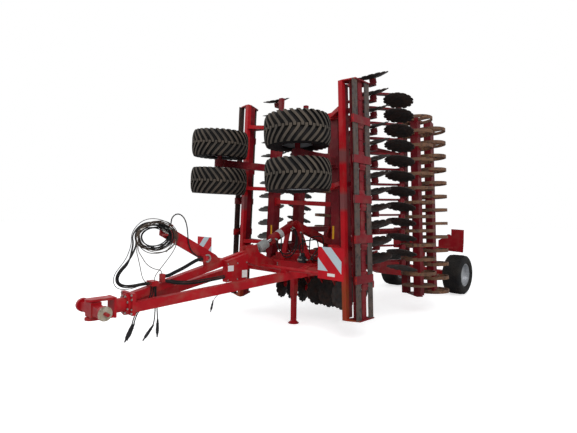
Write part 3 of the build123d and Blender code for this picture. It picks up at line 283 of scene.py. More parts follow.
def plain(name, colour, roughness, metallic=0.0, spread=0.25, grain=30.0):
    """Moulded, cast or plated surface with a slight change of tone."""
    surface = Finish(name, metallic=metallic, roughness=roughness)
    darker = tuple(channel * (1 - spread) for channel in colour)
    surface.colour(surface.ramp(surface.noise(grain), (0.35, colour), (0.70, darker)))
    surface.bumps(surface.noise(grain * 4), 0.10, 0.001)
    return surface.material


CHROME = plain("chrome", (0.62, 0.62, 0.64), 0.14, 1.0, 0.10)
SILVER = plain("silver_paint", (0.52, 0.53, 0.55), 0.38, 0.6, 0.15)
CLIPS = plain("grey_clips", (0.36, 0.37, 0.36), 0.5)
BLACK = plain("black_plastic", (0.018, 0.018, 0.020), 0.45)
WHITE = plain("white_label", (0.80, 0.80, 0.79), 0.4, 0.0, 0.05)
YELLOW = plain("yellow_label", (0.82, 0.42, 0.02), 0.4, 0.0, 0.08)
ZINC = plain("zinc_plate", (0.42, 0.41, 0.38), 0.35, 0.9)


def make_rubber(name, base, dust, share, grain=70.0):
    """Dull rubber under a patchy film of dust."""
    rubber = Finish(name, roughness=0.75)
    dusty = rubber.ramp(rubber.noise(5.0, detail=8.0), (0.36, 0.0), (0.70, 1.0))
    rubber.colour(rubber.blend(rubber.times(dusty, share), base, dust))
    rubber.bumps(rubber.noise(grain, detail=5.0), 0.2, 0.002)
    return rubber.material


RUBBER = make_rubber("tyre_rubber", (0.005, 0.005, 0.006), (0.028, 0.023, 0.020), 0.5)
# Paler brown-grey rubber for the tops of the lugs.
LUG_RUBBER = make_rubber("pale_lug_tops", (0.052, 0.045, 0.038), (0.125, 0.095, 0.070), 0.7)
ROAD_RUBBER = make_rubber("road_rubber", (0.008, 0.008, 0.009), (0.050, 0.041, 0.033), 0.4)
HOSE = make_rubber("hose_rubber", (0.012, 0.012, 0.013), (0.050, 0.045, 0.040), 0.5, 160.0)
BROWN_CABLE = make_rubber("dusty_cable", (0.060, 0.042, 0.032), (0.110, 0.085, 0.062), 0.6, 200.0)


# The near board's inner edge and foot in metres; stripes are in shares of its size
BOARD_SIZE = 0.4
BOARD_INNER = 1.14
BOARD_FOOT = 0.93
EDGE = 0.01
STRIPE_LOW, STRIPE_HIGH, STRIPE_END = 1.13, 1.51, 0.92
CORNER_SUM, CORNER_FOOT = 0.66, 0.26
BLANK_LABEL = ((0.38, 0.68), (0.10, 0.20))
BOARD_WHITE = ((0.42, 0.52, 0.56), (0.56, 0.64, 0.68))


def make_board():
    """Red board with one wide pale stripe and a pale corner, slanting away from the machine's middle."""
    board = Finish("board_stripes", roughness=0.4)
    size = board.tree.nodes.new("ShaderNodeMath")
    size.operation = "ABSOLUTE"
    board.join(board.axis("X"), size.inputs[0])
    across = board.ranged(size.outputs[0], BOARD_INNER, BOARD_INNER + BOARD_SIZE)
    height = board.ranged(board.axis("Z"), BOARD_FOOT, BOARD_FOOT + BOARD_SIZE)
    slant = board.tree.nodes.new("ShaderNodeMath")
    slant.operation = "ADD"
    board.join(across, slant.inputs[0])
    board.join(height, slant.inputs[1])
    total, soft = slant.outputs[0], EDGE / 2
    stripe = board.times(
        board.band(total, STRIPE_LOW - soft, STRIPE_LOW + soft, STRIPE_HIGH - soft, STRIPE_HIGH + soft),
        board.ranged(across, STRIPE_END + soft, STRIPE_END - soft))
    corner = board.times(
        board.ranged(total, CORNER_SUM + soft, CORNER_SUM - soft),
        board.ranged(height, CORNER_FOOT - soft, CORNER_FOOT + soft))
    grain = board.ramp(board.noise(500.0, detail=1.0), (0.40, BOARD_WHITE[0]), (0.62, BOARD_WHITE[1]))
    tone = board.ramp(board.noise(5.0), (0.35, (0.55, 0.008, 0.016)), (0.68, (0.42, 0.006, 0.014)))
    striped = board.blend(board.most(stripe, corner), tone, grain)
    wide, high = (board.band(value, low, low + EDGE, top - EDGE, top)
                  for value, (low, top) in zip((across, height), BLANK_LABEL))
    board.colour(board.blend(board.times(wide, high), striped, (0.80, 0.78, 0.74)))
    return board.material


BOARD = make_board()

NODE_FINISH = {
    "centre_frame": RED, "centre_disc_arms": RED, "centre_discs": DISC_STEEL, "cylinder_tower": RED,
    "jack_sleeve": RED, "jack_leg": RED, "drawbar_frame": RED, "valve_panel": RED, "hose_mast": RED,
    "board_rail": RED, "warning_boards": BOARD, "hitch_neck": RED, "hitch_crossbar": RED,
    "undercarriage_arm": RED, "undercarriage_cylinder_barrel": RED, "undercarriage_cylinder_rod": CHROME,
    "drawbar_cylinder_barrel": RED, "drawbar_cylinder_rod": CHROME, "depth_clips": CLIPS,
    "rear_light_boards": DARK_RED, "transport_brace": RED,
}
# The wings take the darker red, which is painted shade.
for side in ("left", "right"):
    NODE_FINISH |= {
        f"{side}_transport_rim": SILVER, f"{side}_gauge_rims": SILVER,
        f"{side}_fold_cylinder_barrel": RED, f"{side}_fold_cylinder_rod": CHROME,
        f"{side}_wing_frame": SHADED_RED, f"{side}_disc_arms": SHADED_RED, f"{side}_discs": DISC_STEEL,
        f"{side}_tool_frame": GUARD_RED, f"{side}_tool_blades": BLADE_STEEL, f"{side}_gauge_arm": SHADED_RED,
        f"{side}_packer_frame": SHADED_RED,
        f"{side}_front_roller": RING_STEEL, f"{side}_rear_roller": RING_STEEL,
    }
# Y and height of each row on the spread wing
ROLLER_PLACES = {"front": (2.300, 0.620), "rear": (2.840, 0.620)}
TOOL_PLACE = (0.165, 0.400)
# How far from its line a roller's tube, or the tool with its clamps, reaches
TUBE_REACH = 0.115
TOOL_REACH = 0.30
TOOL_FRONT = -0.13
HITCH_PIN = (0, -2.940, 0.700)
GUIDE_DISC = (0.296, 0.346)
GUIDE_HOLE = 0.030


def second_finish(node, material, belongs):
    """Gives a node's faces another material where belongs says so of a face's centre."""
    mesh = node.data
    mesh.materials.append(material)
    for face in mesh.polygons:
        if belongs(face.center):
            face.material_index = len(mesh.materials) - 1


def within(line, along, reach, front=-math.inf):
    """Tests a face's centre for its distance from a line, and for not lying beyond front of it."""
    def belongs(centre):
        away = centre - line
        return (away - along * away.dot(along)).length < reach and away.y > front

    return belongs


def dress_nodes():
    """The solids that show, each with its finish; what a new piece replaces is left out."""
    nodes = frame["nodes"]
    for name, material in NODE_FINISH.items():
        nodes[name].data.materials.clear()
        nodes[name].data.materials.append(material)
    for side, name in ((1, "left"), (-1, "right")):
        along = wing_direction(side)
        # Roller tubes and the tool's tube and clamps take the darker red, painted shade.
        for row, (y, z) in ROLLER_PLACES.items():
            on_tube = within(folded(side, 0, y, z), along, TUBE_REACH)
            second_finish(nodes[f"{name}_{row}_roller"], SHADED_RED, on_tube)
        on_tool = within(folded(side, 0, *TOOL_PLACE), along, TOOL_REACH, TOOL_FRONT)
        second_finish(nodes[f"{name}_tool_frame"], SHADED_RED, on_tool)
    pin = at(*HITCH_PIN)

    def on_guide(centre):
        away = centre - pin
        return GUIDE_DISC[0] < abs(away.x) < GUIDE_DISC[1] and math.hypot(away.y, away.z) > GUIDE_HOLE

    second_finish(nodes["hitch_crossbar"], WORN_STEEL, on_guide)
    second_finish(nodes["hitch_crossbar"], BLACK, lambda centre: centre.x < pin.x - GUIDE_DISC[1])


# Shapes that many pieces share


def finished(name, bm, materials, body, replaces=(), sharp=30):
    """Makes an object of a mesh and sets what carries it."""
    bmesh.ops.recalc_face_normals(bm, faces=bm.faces)
    mesh = bpy.data.meshes.new(name)
    bm.to_mesh(mesh)
    bm.free()
    for material in materials:
        mesh.materials.append(material)
    mesh.shade_smooth()
    mesh.set_sharp_from_angle(angle=math.radians(sharp))
    piece = bpy.data.objects.new(name, mesh)
    bpy.context.scene.collection.objects.link(piece)
    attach(piece, body)
    if replaces:
        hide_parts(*replaces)
    return piece


def put(bm, before, place, along, material=None):
    """Turns what was added since before from Z to along, and moves it to its place."""
    turn = Vector((0, 0, 1)).rotation_difference(Vector(along)).to_matrix().to_4x4()
    verts = [vert for vert in bm.verts if vert not in before]
    bmesh.ops.transform(bm, matrix=Matrix.Translation(place) @ turn, verts=verts)
    if material is not None:
        for face in {face for vert in verts for face in vert.link_faces}:
            face.material_index = material


def turned(bm, profile, place, along, steps=20, material=0):
    """Spins pairs of a distance and a radius about a line; the ends lie on the line or meet each other."""
    before = set(bm.verts)
    verts = [bm.verts.new((radius, 0, distance)) for distance, radius in profile]
    edges = [bm.edges.new(pair) for pair in zip(verts, verts[1:])]
    if profile[0][1] > 0:
        edges.append(bm.edges.new((verts[-1], verts[0])))
    bmesh.ops.spin(bm, geom=verts + edges, cent=(0, 0, 0), axis=(0, 0, 1), angle=math.tau, steps=steps,
                   use_merge=True)
    fresh = [vert for vert in bm.verts if vert not in before]
    bmesh.ops.remove_doubles(bm, verts=fresh, dist=0.00002)
    put(bm, before, place, along, material)


def plate(bm, place, size, turn=None, edge=0.0, material=0):
    """Box of three sizes about its middle, turned by a matrix, with its edges taken off."""
    before = set(bm.verts)
    made = bmesh.ops.create_cube(bm, size=1.0)["verts"]
    bmesh.ops.scale(bm, vec=size, verts=made)
    if edge:
        edges = list({line for vert in made for line in vert.link_edges})
        bmesh.ops.bevel(bm, geom=edges, offset=edge, affect="EDGES", segments=2, profile=0.5, material=-1)
    verts = [vert for vert in bm.verts if vert not in before]
    turn = turn.to_4x4() if turn else Matrix.Identity(4)
    bmesh.ops.transform(bm, matrix=Matrix.Translation(place) @ turn, verts=verts)
    for face in {face for vert in verts for face in vert.link_faces}:
        face.material_index = material


FORWARD = Vector((0, -1, 0))
WASHER = 0.003


def hexagon_bolt(bm, place, along, size, material=0):
    """Washer and six-sided head, size being the head's half width."""
    along = Vector(along).normalized()
    for radius, depth, start, sides in (
        (size * 1.45, WASHER, 0.0, 12),
        (size * 1.1, size * 0.8, WASHER, 6),
    ):
        before = set(bm.verts)
        bmesh.ops.create_cone(
            bm, cap_ends=True, segments=sides, radius1=radius, radius2=radius * 0.96, depth=depth)
        put(bm, before, Vector(place) + along * (start + depth / 2), along, material)


# Hoses and cables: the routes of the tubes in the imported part, in millimetres

ROUTES = {
    "hose_bundle": [
        (70, -2468, 1345), (70, -2512, 1282), (70, -2560, 1218), (69, -2616, 1152), (66, -2676, 1096),
        (62, -2718, 1030), (58, -2716, 964), (52, -2670, 920), (46, -2604, 902), (38, -2530, 898),
        (31, -2460, 902), (28, -2395, 907), (28, -2330, 907)],
    "hose_tail_front": [
        (62, -2312, 880), (62, -2312, 810), (58, -2332, 738), (46, -2376, 678), (34, -2434, 632),
        (24, -2480, 574), (16, -2502, 510), (12, -2514, 450), (10, -2538, 395)],
    "hose_tail_middle": [
        (90, -2290, 880), (90, -2290, 805), (82, -2279, 725), (70, -2270, 640), (56, -2267, 560),
        (46, -2266, 485), (40, -2278, 415), (36, -2318, 362)],
    "hose_tail_rear": [
        (64, -2262, 880), (64, -2262, 805), (57, -2252, 720), (45, -2236, 635), (36, -2226, 550),
        (30, -2216, 470), (26, -2215, 400)],
    "plug_lead": [
        (90, -1262, 820), (90, -1262, 775), (88, -1284, 730), (82, -1318, 694), (75, -1362, 668),
        (68, -1408, 640), (62, -1440, 600), (58, -1455, 560), (56, -1464, 520)],
    "mast_hose": [
        (32, -2060, 1585), (32, -2060, 1640), (32, -2030, 1690), (32, -1980, 1716), (32, -1926, 1706),
        (32, -1880, 1665), (32, -1850, 1605), (32, -1834, 1535), (31, -1825, 1460), (30, -1818, 1385),
        (30, -1800, 1312), (32, -1768, 1250), (38, -1724, 1206), (60, -1686, 1174), (60, -1640, 1174)],
    "hose_run": [
        (80, -1640, 1146), (80, -1702, 1146), (81, -1775, 1118), (82, -1845, 1086), (82, -1915, 1055),
        (81, -1985, 1030), (80, -2055, 1004), (80, -2112, 980), (80, -2170, 980)],
}
# Thin cables from the clamps up to the coil
CABLE_ROUTES = {
    "front": [
        (85, -2330, 915), (86, -2372, 920), (86, -2420, 948), (85, -2448, 1010), (86, -2464, 1085),
        (92, -2484, 1160), (104, -2505, 1225), (116, -2530, 1290)],
    "rear": [
        (78, -2290, 935), (78, -2290, 975), (80, -2266, 1020), (86, -2218, 1076), (96, -2160, 1150),
        (110, -2100, 1230), (126, -2062, 1300)],
    "inner": [
        (60, -2190, 1010), (60, -2190, 1044), (66, -2236, 1060), (78, -2300, 1078), (94, -2364, 1112),
        (108, -2420, 1160), (116, -2465, 1228), (115, -2510, 1295)],
    "outer": [
        (-10, -2330, 900), (-10, -2376, 896), (0, -2440, 882), (12, -2520, 868), (24, -2610, 868),
        (32, -2690, 884), (36, -2738, 930), (40, -2752, 992), (44, -2738, 1052), (50, -2700, 1110),
        (56, -2650, 1170), (60, -2602, 1250)],
}
HOSE_RADIUS = 0.0066
TAIL_RADIUS = 0.0068
LEAD_RADIUS = 0.0035
PLUG_RADIUS = 0.0185
LEAD_PLUG_RADIUS = 0.0150
COIL_HOSES = 5
BUNDLE_RING = 0.0132
MAST_HOSES = 6
MAST_RING = 0.0150
# The coil's middle by Y and height, and how its hoses wind
COIL_MIDDLE = (-2.290, 1.440)
COIL_START = 204
COIL_TURNS = (2.44, 1.43)
COIL_WIDTH, COIL_HEIGHT = 0.252, 0.186
COIL_STEP = 0.034
FIRST_LAYER, LAYER_PITCH = 0.024, 0.018
POINTS_PER_TURN = 14
SMALL_COUPLING = (0.05, 0.0075, 0.008)


def route(places):
    return [at(x / 1000, y / 1000, z / 1000) for x, y, z in places]


def beside(points, across, over):
    """A route again, moved sideways by across and off its own line by over."""
    moved = []
    for i, point in enumerate(points):
        ahead = (points[min(i + 1, len(points) - 1)] - points[max(i - 1, 0)]).normalized()
        side = Vector((1, 0, 0))
        moved.append(point + side * across + ahead.cross(side).normalized() * over)
    return moved


def route_length(points):
    """Length of the smooth line that a route's curve follows."""
    curve = route_curve("measure", points)
    holder = bpy.data.objects.new("measure", curve)
    line = bpy.data.meshes.new_from_object(holder)
    length = sum((line.vertices[edge.vertices[0]].co - line.vertices[edge.vertices[1]].co).length
                 for edge in line.edges)
    bpy.data.objects.remove(holder)
    bpy.data.curves.remove(curve)
    bpy.data.meshes.remove(line)
    return length


def route_curve(name, points):
    """Smooth curve that starts and ends with the route."""
    curve = bpy.data.curves.new(name, "CURVE")
    curve.dimensions = "3D"
    curve.resolution_u = 8
    spline = curve.splines.new("NURBS")
    spline.points.add(len(points) - 1)
    for control, place in zip(spline.points, points):
        control.co = (*place, 1)
    spline.order_u = 3
    spline.use_endpoint_u = True
    return curve


def lay_hose(name, points, radius, material=HOSE, replaces=(),
             body="drawbar"):
    """A free hose or cable along a route."""
    length = route_length(points)
    curve = route_curve(name, points)
    curve.bevel_depth = radius
    curve.bevel_resolution = 2
    curve.use_fill_caps = True
    curve.materials.append(material)
    piece = bpy.data.objects.new(name, curve)
    bpy.context.scene.collection.objects.link(piece)
    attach(piece, body)
    if replaces:
        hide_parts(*replaces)


def coil_turns(layer, first_angle, turns, width, height, step, wobble):
    """Points of a loose coil that winds inwards by step each turn; angles in degrees."""
    count = int(abs(turns) * POINTS_PER_TURN)
    points = []
    for i in range(count + 1):
        done = abs(turns) * i / count
        angle = math.radians(first_angle + math.copysign(360 * done, turns))
        shrink = step * done
        a = width - shrink + 0.008 * math.sin(2 * angle + wobble)
        b = height - shrink * 0.92 + 0.008 * math.cos(3 * angle + 2 * wobble)
        x = layer + 0.0028 * math.sin(angle + 3 * wobble)
        y = COIL_MIDDLE[0] + a * math.cos(angle) + 0.010 * math.sin(wobble * 5)
        z = COIL_MIDDLE[1] + b * math.sin(angle) + 0.009 * math.cos(wobble * 7)
        points.append(at(x, y, z))
    return points


def coupling(name, points, length=0.075, radius=0.0115, back=0.012):
    """Plated screw coupling on a route's end, reaching back over the hose."""
    along = (points[-1] - points[-2]).normalized()
    bm = bmesh.new()
    turned(bm, [
        (-back, 0), (-back, radius * 0.78), (0.004, radius * 0.8), (0.006, radius), (0.020, radius),
        (0.022, radius * 0.82), (0.034, radius * 0.82), (0.036, radius * 1.15), (0.056, radius * 1.15),
        (0.058, radius * 0.7), (length - 0.002, radius * 0.66), (length, 0)], points[-1], along, 12)
    return finished(name, bm, [ZINC], "drawbar")


def plug_end(name, points, length, radius):
    """Ribbed plug on a route's end, with a sleeve over the hose and a short tip."""
    along = (points[-1] - points[-2]).normalized()
    bm = bmesh.new()
    start = -0.075
    profile = [(start, 0), (start, radius * 0.48), (start + 0.02, radius * 0.62), (-0.030, radius * 0.72)]
    for i in range(4):
        near = -0.026 + i * 0.011
        profile += [(near, radius * 0.74), (near + 0.002, radius * 0.92), (near + 0.007, radius * 0.92)]
    profile += [
        (0.022, radius * 0.9), (0.030, radius), (length * 0.55, radius), (length * 0.66, radius * 0.88),
        (length * 0.72, radius * 0.95), (length * 0.86, radius * 0.66), (length, radius * 0.46),
        (length + 0.022, radius * 0.42), (length + 0.026, 0)]
    turned(bm, profile, points[-1], along, 18)
    return finished(name, bm, [BLACK], "drawbar")


def lay_coil():
    """Hoses of the bundle, each with its own layer of the coil on the mast."""
    bundle = list(reversed(route(ROUTES["hose_bundle"])))[:-2]
    for i in range(COIL_HOSES):
        angle = math.tau * i / COIL_HOSES + 0.4
        lead = beside(bundle, BUNDLE_RING * math.cos(angle), BUNDLE_RING * math.sin(angle))
        layer = FIRST_LAYER + LAYER_PITCH * i
        width, height = COIL_WIDTH - 0.010 * (i % 3), COIL_HEIGHT - 0.008 * ((i + 1) % 3)
        loops = coil_turns(layer, COIL_START, -COIL_TURNS[i % 2], width, height, COIL_STEP, 0.9 * i)
        swing = at(layer * 0.6 + 0.028, -2.562, 1.246)
        points = lead[:-1] + [swing] + loops
        end = coupling(f"coil_coupling_{i + 1}", points)
        lay_hose(f"coil_hose_{i + 1}", points, HOSE_RADIUS,
                 replaces=() if i else ("hose_bundle", "hose_coil"))


def lay_thin_cables():
    """Cables between the clamps, the bundle and the coil."""
    for number, (start, turns, radius, material) in enumerate((
        ("front", (0.124, 205, -1.6, 0.262, 0.200, 0.020, 0.3), 0.0045, BROWN_CABLE),
        ("rear", (0.138, -24, 1.45, 0.258, 0.198, 0.024, 1.7), 0.0045, BROWN_CABLE),
        ("inner", (0.112, 205, -1.1, 0.250, 0.186, 0.040, 2.6), 0.0045, BROWN_CABLE),
        ("outer", (0.060, 200, -0.68, 0.282, 0.214, 0.006, 0.0), 0.0040, HOSE),
    ), 1):
        points = route(CABLE_ROUTES[start]) + coil_turns(*turns)
        end = coupling(f"thin_cable_{number}_end", points, *SMALL_COUPLING)
        lay_hose(f"thin_cable_{number}", points, radius, material)


def lay_tails():
    """Tails that hang with their plugs under the clamps, and the lead beside the valves."""
    front = route(ROUTES["hose_tail_front"])
    second = [
        point + Vector((0.004, 0.020, 0.012)) * (1 - 0.35 * i / (len(front) - 1))
        for i, point in enumerate(front)]
    second[0].z = front[0].z
    for name, points, plug, nodes in (
        ("front_1", beside(front, -0.008, 0.004), 0.112, ("hose_tail_front", "hose_plugs")),
        ("front_2", second, 0.100, ()),
        ("middle", route(ROUTES["hose_tail_middle"]), 0.108, ("hose_tail_middle",)),
        ("rear", route(ROUTES["hose_tail_rear"]), 0.118, ("hose_tail_rear",)),
        ("lead", route(ROUTES["plug_lead"]), 0.055, ("plug_lead",)),
    ):
        small = name == "lead"
        end = plug_end(f"{name}_plug", points, plug, LEAD_PLUG_RADIUS if small else PLUG_RADIUS)
        lay_hose(f"{name}_tail", points, LEAD_RADIUS if small else TAIL_RADIUS,
                 replaces=nodes)


def make_hoses():
    """Every hose and cable of the coil, the clamps and the mast."""
    lay_coil()
    lay_thin_cables()
    lay_tails()
    lay_hose("mast_loop", route(ROUTES["mast_hose"]), 0.0075, replaces=("mast_hose",))
    for i in range(MAST_HOSES):
        angle = math.tau * i / MAST_HOSES
        points = beside(route(ROUTES["hose_run"]), MAST_RING * math.cos(angle), MAST_RING * math.sin(angle))
        lay_hose(f"mast_run_{i + 1}", points, 0.0070, replaces=() if i else ("hose_run",))


# Tyres

TYRE_REACH = 0.437
TYRE_HALF = 0.200
GAUGE_BEAD, ROAD_BEAD = 0.200, 0.252
LUGS = 28
LUG_DEPTH = 0.030
LUG_BEND = 0.34
BLOCKS, BLOCK_ROWS = 46, 6
BLOCK_PITCH, BLOCK_WIDTH = 0.056, 0.043
SHOULDER = 0.12
# Middle of a pair of gauge wheels on the spread wing, and how far each lies from it along the wing
GAUGE_PAIR = (2.355, -0.710, 0.753)
GAUGE_STEP = 0.287
ROAD_WHEEL = (0.780, 4.741, 0.437)


def tyre_shell(bm, bead, tread):
    """Hollow tyre about Z, from bead to bead."""
    half = TYRE_HALF
    side = [
        (-half + 0.020, bead + 0.0006), (-half + 0.008, bead + 0.022), (-half + 0.004, bead + 0.060),
        (-half, tread - 0.095), (-half + 0.003, tread - 0.060), (-half + 0.020, tread - 0.024),
        (-half + 0.060, tread - 0.006), (-half + 0.120, tread)]
    turned(bm, side + [(-z, r) for z, r in reversed(side)], (0, 0, 0), (0, 0, 1), 60)


def repeat_round(bm, count):
    """Copies the whole mesh about Z until there are count of it."""
    whole = bm.verts[:] + bm.edges[:] + bm.faces[:]
    bmesh.ops.spin(bm, geom=whole, cent=(0, 0, 0), axis=(0, 0, 1), angle=math.tau * (count - 1) / count,
                   steps=count - 1, use_duplicate=True)


def gauge_tyre(bm):
    """Tyre about Z with bent lugs on both halves, whose tops get the paler brown-grey rubber."""
    tread = TYRE_REACH - LUG_DEPTH
    made = bmesh.ops.create_cube(bm, size=1.0)["verts"]
    long_edges = [
        line for line in {line for vert in made for line in vert.link_edges}
        if abs(line.verts[0].co.z - line.verts[1].co.z) > 0.5]
    bmesh.ops.subdivide_edges(bm, edges=long_edges, cuts=5, use_grid_fill=True)
    for vert in bm.verts:
        run = vert.co.z + 0.5
        top = vert.co.y > 0
        bend = -LUG_BEND * max(0.0, (run - 0.15) / 0.85) ** 1.15
        width = (0.036 if top else 0.050) + 0.010 * run
        radius = TYRE_REACH - 0.032 * run ** 4 if top else tread - 0.004 - 0.064 * run ** 5
        angle = bend + vert.co.x * width / TYRE_REACH
        vert.co = (radius * math.cos(angle), radius * math.sin(angle), run * (TYRE_HALF + 0.012) - 0.014)
    copy = bmesh.ops.duplicate(bm, geom=bm.verts[:] + bm.edges[:] + bm.faces[:])["geom"]
    verts = [part for part in copy if isinstance(part, bmesh.types.BMVert)]
    other = Matrix.Rotation(math.pi / LUGS, 4, "Z") @ Matrix.Scale(-1, 4, (0, 0, 1))
    bmesh.ops.transform(bm, matrix=other, verts=verts)
    repeat_round(bm, LUGS)
    tops = [
        face for face in bm.faces
        if min(Vector(vert.co[:2]).length for vert in face.verts) > tread - 0.003]
    tyre_shell(bm, GAUGE_BEAD, tread)
    for face in tops:
        face.material_index = 1


def road_tyre(bm):
    """Tyre about Z with rows of small blocks, the outer rows a little lower."""
    tread = TYRE_REACH - 0.010
    for row in range(BLOCK_ROWS):
        made = bmesh.ops.create_cube(bm, size=1.0)["verts"]
        from_middle = row - (BLOCK_ROWS - 1) / 2
        middle = from_middle * BLOCK_PITCH
        shift = (row % 2) * 0.5 + 0.12 * from_middle
        drop = 0.010 if abs(middle) > SHOULDER else 0.0
        for vert in made:
            top = vert.co.y > 0
            angle = math.tau / BLOCKS * (shift + vert.co.x * (0.66 if top else 0.74) + 0.30 * vert.co.z)
            radius = TYRE_REACH - 0.0005 - drop if top else tread - 0.008 - drop
            vert.co = (radius * math.cos(angle), radius * math.sin(angle), middle + vert.co.z * BLOCK_WIDTH)
    repeat_round(bm, BLOCKS)
    tyre_shell(bm, ROAD_BEAD, tread)


def make_tyres():
    along, y, z = GAUGE_PAIR
    for side, name in ((1, "left"), (-1, "right")):
        bm = bmesh.new()
        for step in (-GAUGE_STEP, GAUGE_STEP):
            one = bmesh.new()
            gauge_tyre(one)
            put(one, set(), folded(side, along + step, y, z), wing_direction(side))
            holder = bpy.data.meshes.new("tyre")
            one.to_mesh(holder)
            bm.from_mesh(holder)
            bpy.data.meshes.remove(holder)
            one.free()
        finished(f"{name}_lugged_tyres", bm, [RUBBER, LUG_RUBBER], f"{name}_gauge_wheels",
                 (f"{name}_gauge_tyres",), 40)
        bm = bmesh.new()
        road_tyre(bm)
        put(bm, set(), at(side * ROAD_WHEEL[0], *ROAD_WHEEL[1:]), (1, 0, 0))
        finished(f"{name}_road_tyre", bm, [ROAD_RUBBER], f"{name}_transport_wheel",
                 (f"{name}_transport_tyre",), 40)


# Details of the wings: dark strips that are painted shade, tool clamps with bolts, and labels

# Middle of each dark strip on the spread wing, and its size; the strips are painted shade beside the guard
# tube and the tool
SHADE_STRIPS = (
    ((1.770, 0.092, 0.553), (3.28, 0.115, 0.008)),
    ((1.770, 0.058, 0.440), (3.30, 0.060, 0.008)),
    ((1.770, 0.216, 0.372), (3.30, 0.030, 0.008)),
)
# Distance along the wing, and which way the clamp is shifted across it
TOOL_CLAMPS = (
    (2.811, -1), (2.370, -1), (2.231, 1), (1.831, -1), (1.673, 1), (1.280, -1), (1.128, 1), (0.716, -1),
    (0.572, 1),
)
CLAMP_SHIFT = 0.014
CLAMP_SIZE, CLAMP_RIB = (0.120, 0.128, 0.104), (0.030, 0.142, 0.118)
CLAMP_FACE = 0.064
TUBE_BANDS = (0.35, 0.92, 1.49, 2.03, 2.60, 3.16)
BAND_SIZE = (0.020, 0.086, 0.086)
# Lower and upper end of the label on each folded wing's beam
BEAM_LABELS = {"left": (1.370, 1.565), "right": (1.383, 1.539)}


def make_wing_details():
    tool_y, tool_z = TOOL_PLACE
    for side, name in ((1, "left"), (-1, "right")):
        turn = Matrix.Rotation(-side * FOLD_ANGLE, 3, "Y")
        bm = bmesh.new()
        # Dark plates that are painted shade, in the gap beside the guard tube and behind the tool.
        for middle, size in SHADE_STRIPS:
            plate(bm, folded(side, *middle), size, turn)
        finished(f"{name}_shade_strip", bm, [SHADED_RED], f"{name}_wing")
        bm = bmesh.new()
        for near, shift in TOOL_CLAMPS:
            middle = tool_y + CLAMP_SHIFT * shift
            for size, edge in ((CLAMP_SIZE, 0.006), (CLAMP_RIB, 0.004)):
                plate(bm, folded(side, near, middle, tool_z - 0.002), size, turn, edge)
            for across in (-0.040, 0.040):
                for up in (-0.030, 0.030):
                    place = folded(side, near + across, middle - CLAMP_FACE, tool_z + up)
                    hexagon_bolt(bm, place, FORWARD, 0.009, 1)
        for near in TUBE_BANDS:
            plate(bm, folded(side, near, *TOOL_PLACE), BAND_SIZE, turn, 0.004)
        finished(f"{name}_tool_clamps", bm, [SHADED_RED, ZINC], f"{name}_wing")
        bm = bmesh.new()
        low, high = BEAM_LABELS[name]
        plate(bm, at(side * 0.672, 0.2845, (low + high) / 2), (0.034, 0.003, high - low))
        finished(f"{name}_beam_label", bm, [YELLOW], f"{name}_wing")


# Labels, bolts and small fittings of the drawbar and the tower

VALVE_LABELS = (
    ((0.1360, -1.225, 0.998), (0.003, 0.095, 0.075)),
    ((0.1360, -0.986, 0.908), (0.003, 0.090, 0.100)),
)
BARREL_PLACE, BARREL_LINE = (0, -0.195, 1.420), (0, 0.908, 0.418)
BARREL_LABEL = [(-0.040, 0.0700), (-0.040, 0.0712), (0.040, 0.0712), (0.040, 0.0700)]
NECK_PLACE = (-2.6105, 0.700)
NECK_BOLTS, NECK_RING = 8, 0.098
PLATE_BOLT_HEIGHTS = (0.612, 0.655, 0.765, 0.812)
MAST_EYE = [(0, 0.034), (0.006, 0.036), (0.006, 0.054), (0, 0.056)]
PANEL_BOLT_PLACES = (-1.270, -1.110, -0.950)


def make_labels():
    bm = bmesh.new()
    for middle, size in VALVE_LABELS:
        plate(bm, at(*middle), size)
    finished("valve_labels", bm, [WHITE], "drawbar")
    bm = bmesh.new()
    turned(bm, BARREL_LABEL, at(*BARREL_PLACE), Vector(BARREL_LINE), 40)
    finished("levelling_label", bm, [WHITE], "drawbar_barrel")


def make_bolts():
    bm = bmesh.new()
    y, z = NECK_PLACE
    for i in range(NECK_BOLTS):
        angle = math.tau * (i + 0.5) / NECK_BOLTS
        place = at(NECK_RING * math.cos(angle), y, z + NECK_RING * math.sin(angle))
        hexagon_bolt(bm, place, FORWARD, 0.010)
    finished("neck_bolts", bm, [ZINC], "hitch_neck")
    bm = bmesh.new()
    for x in (-0.125, 0.125):
        for z in PLATE_BOLT_HEIGHTS:
            hexagon_bolt(bm, at(x, -2.580, z), FORWARD, 0.010)
    turned(bm, MAST_EYE, at(0.0145, -1.515, 1.142), (1, 0, 0), 24)
    for y in PANEL_BOLT_PLACES:
        for z in (0.845, 1.060):
            hexagon_bolt(bm, at(0.135, y, z), (1, 0, 0), 0.008)
    finished("drawbar_bolts", bm, [ZINC], "drawbar")
    bm = bmesh.new()
    for x in (0.36, 0.44, -0.36, -0.44):
        for z in (0.90, 0.93):
            hexagon_bolt(bm, at(x, 0.135, z), FORWARD, 0.010)
    finished("pivot_bar_bolts", bm, [ZINC], "frame")


def fitting(bm, place, along, length=0.050, radius=0.013, material=0):
    """Screwed hose fitting, set a little into what it stands on."""
    turned(bm, [
        (-0.010, 0), (-0.010, radius * 0.9), (0.008, radius * 0.9), (0.010, radius * 1.15),
        (0.020, radius * 1.15), (0.022, radius * 0.7), (length * 0.6, radius * 0.7), (length * 0.62, radius),
        (length * 0.9, radius), (length, radius * 0.6), (length + 0.001, 0)], place, along, 12, material)


VALVE_BLOCK = (0.185, 0.205, 1.028)
BEAM_TOP = 1.085
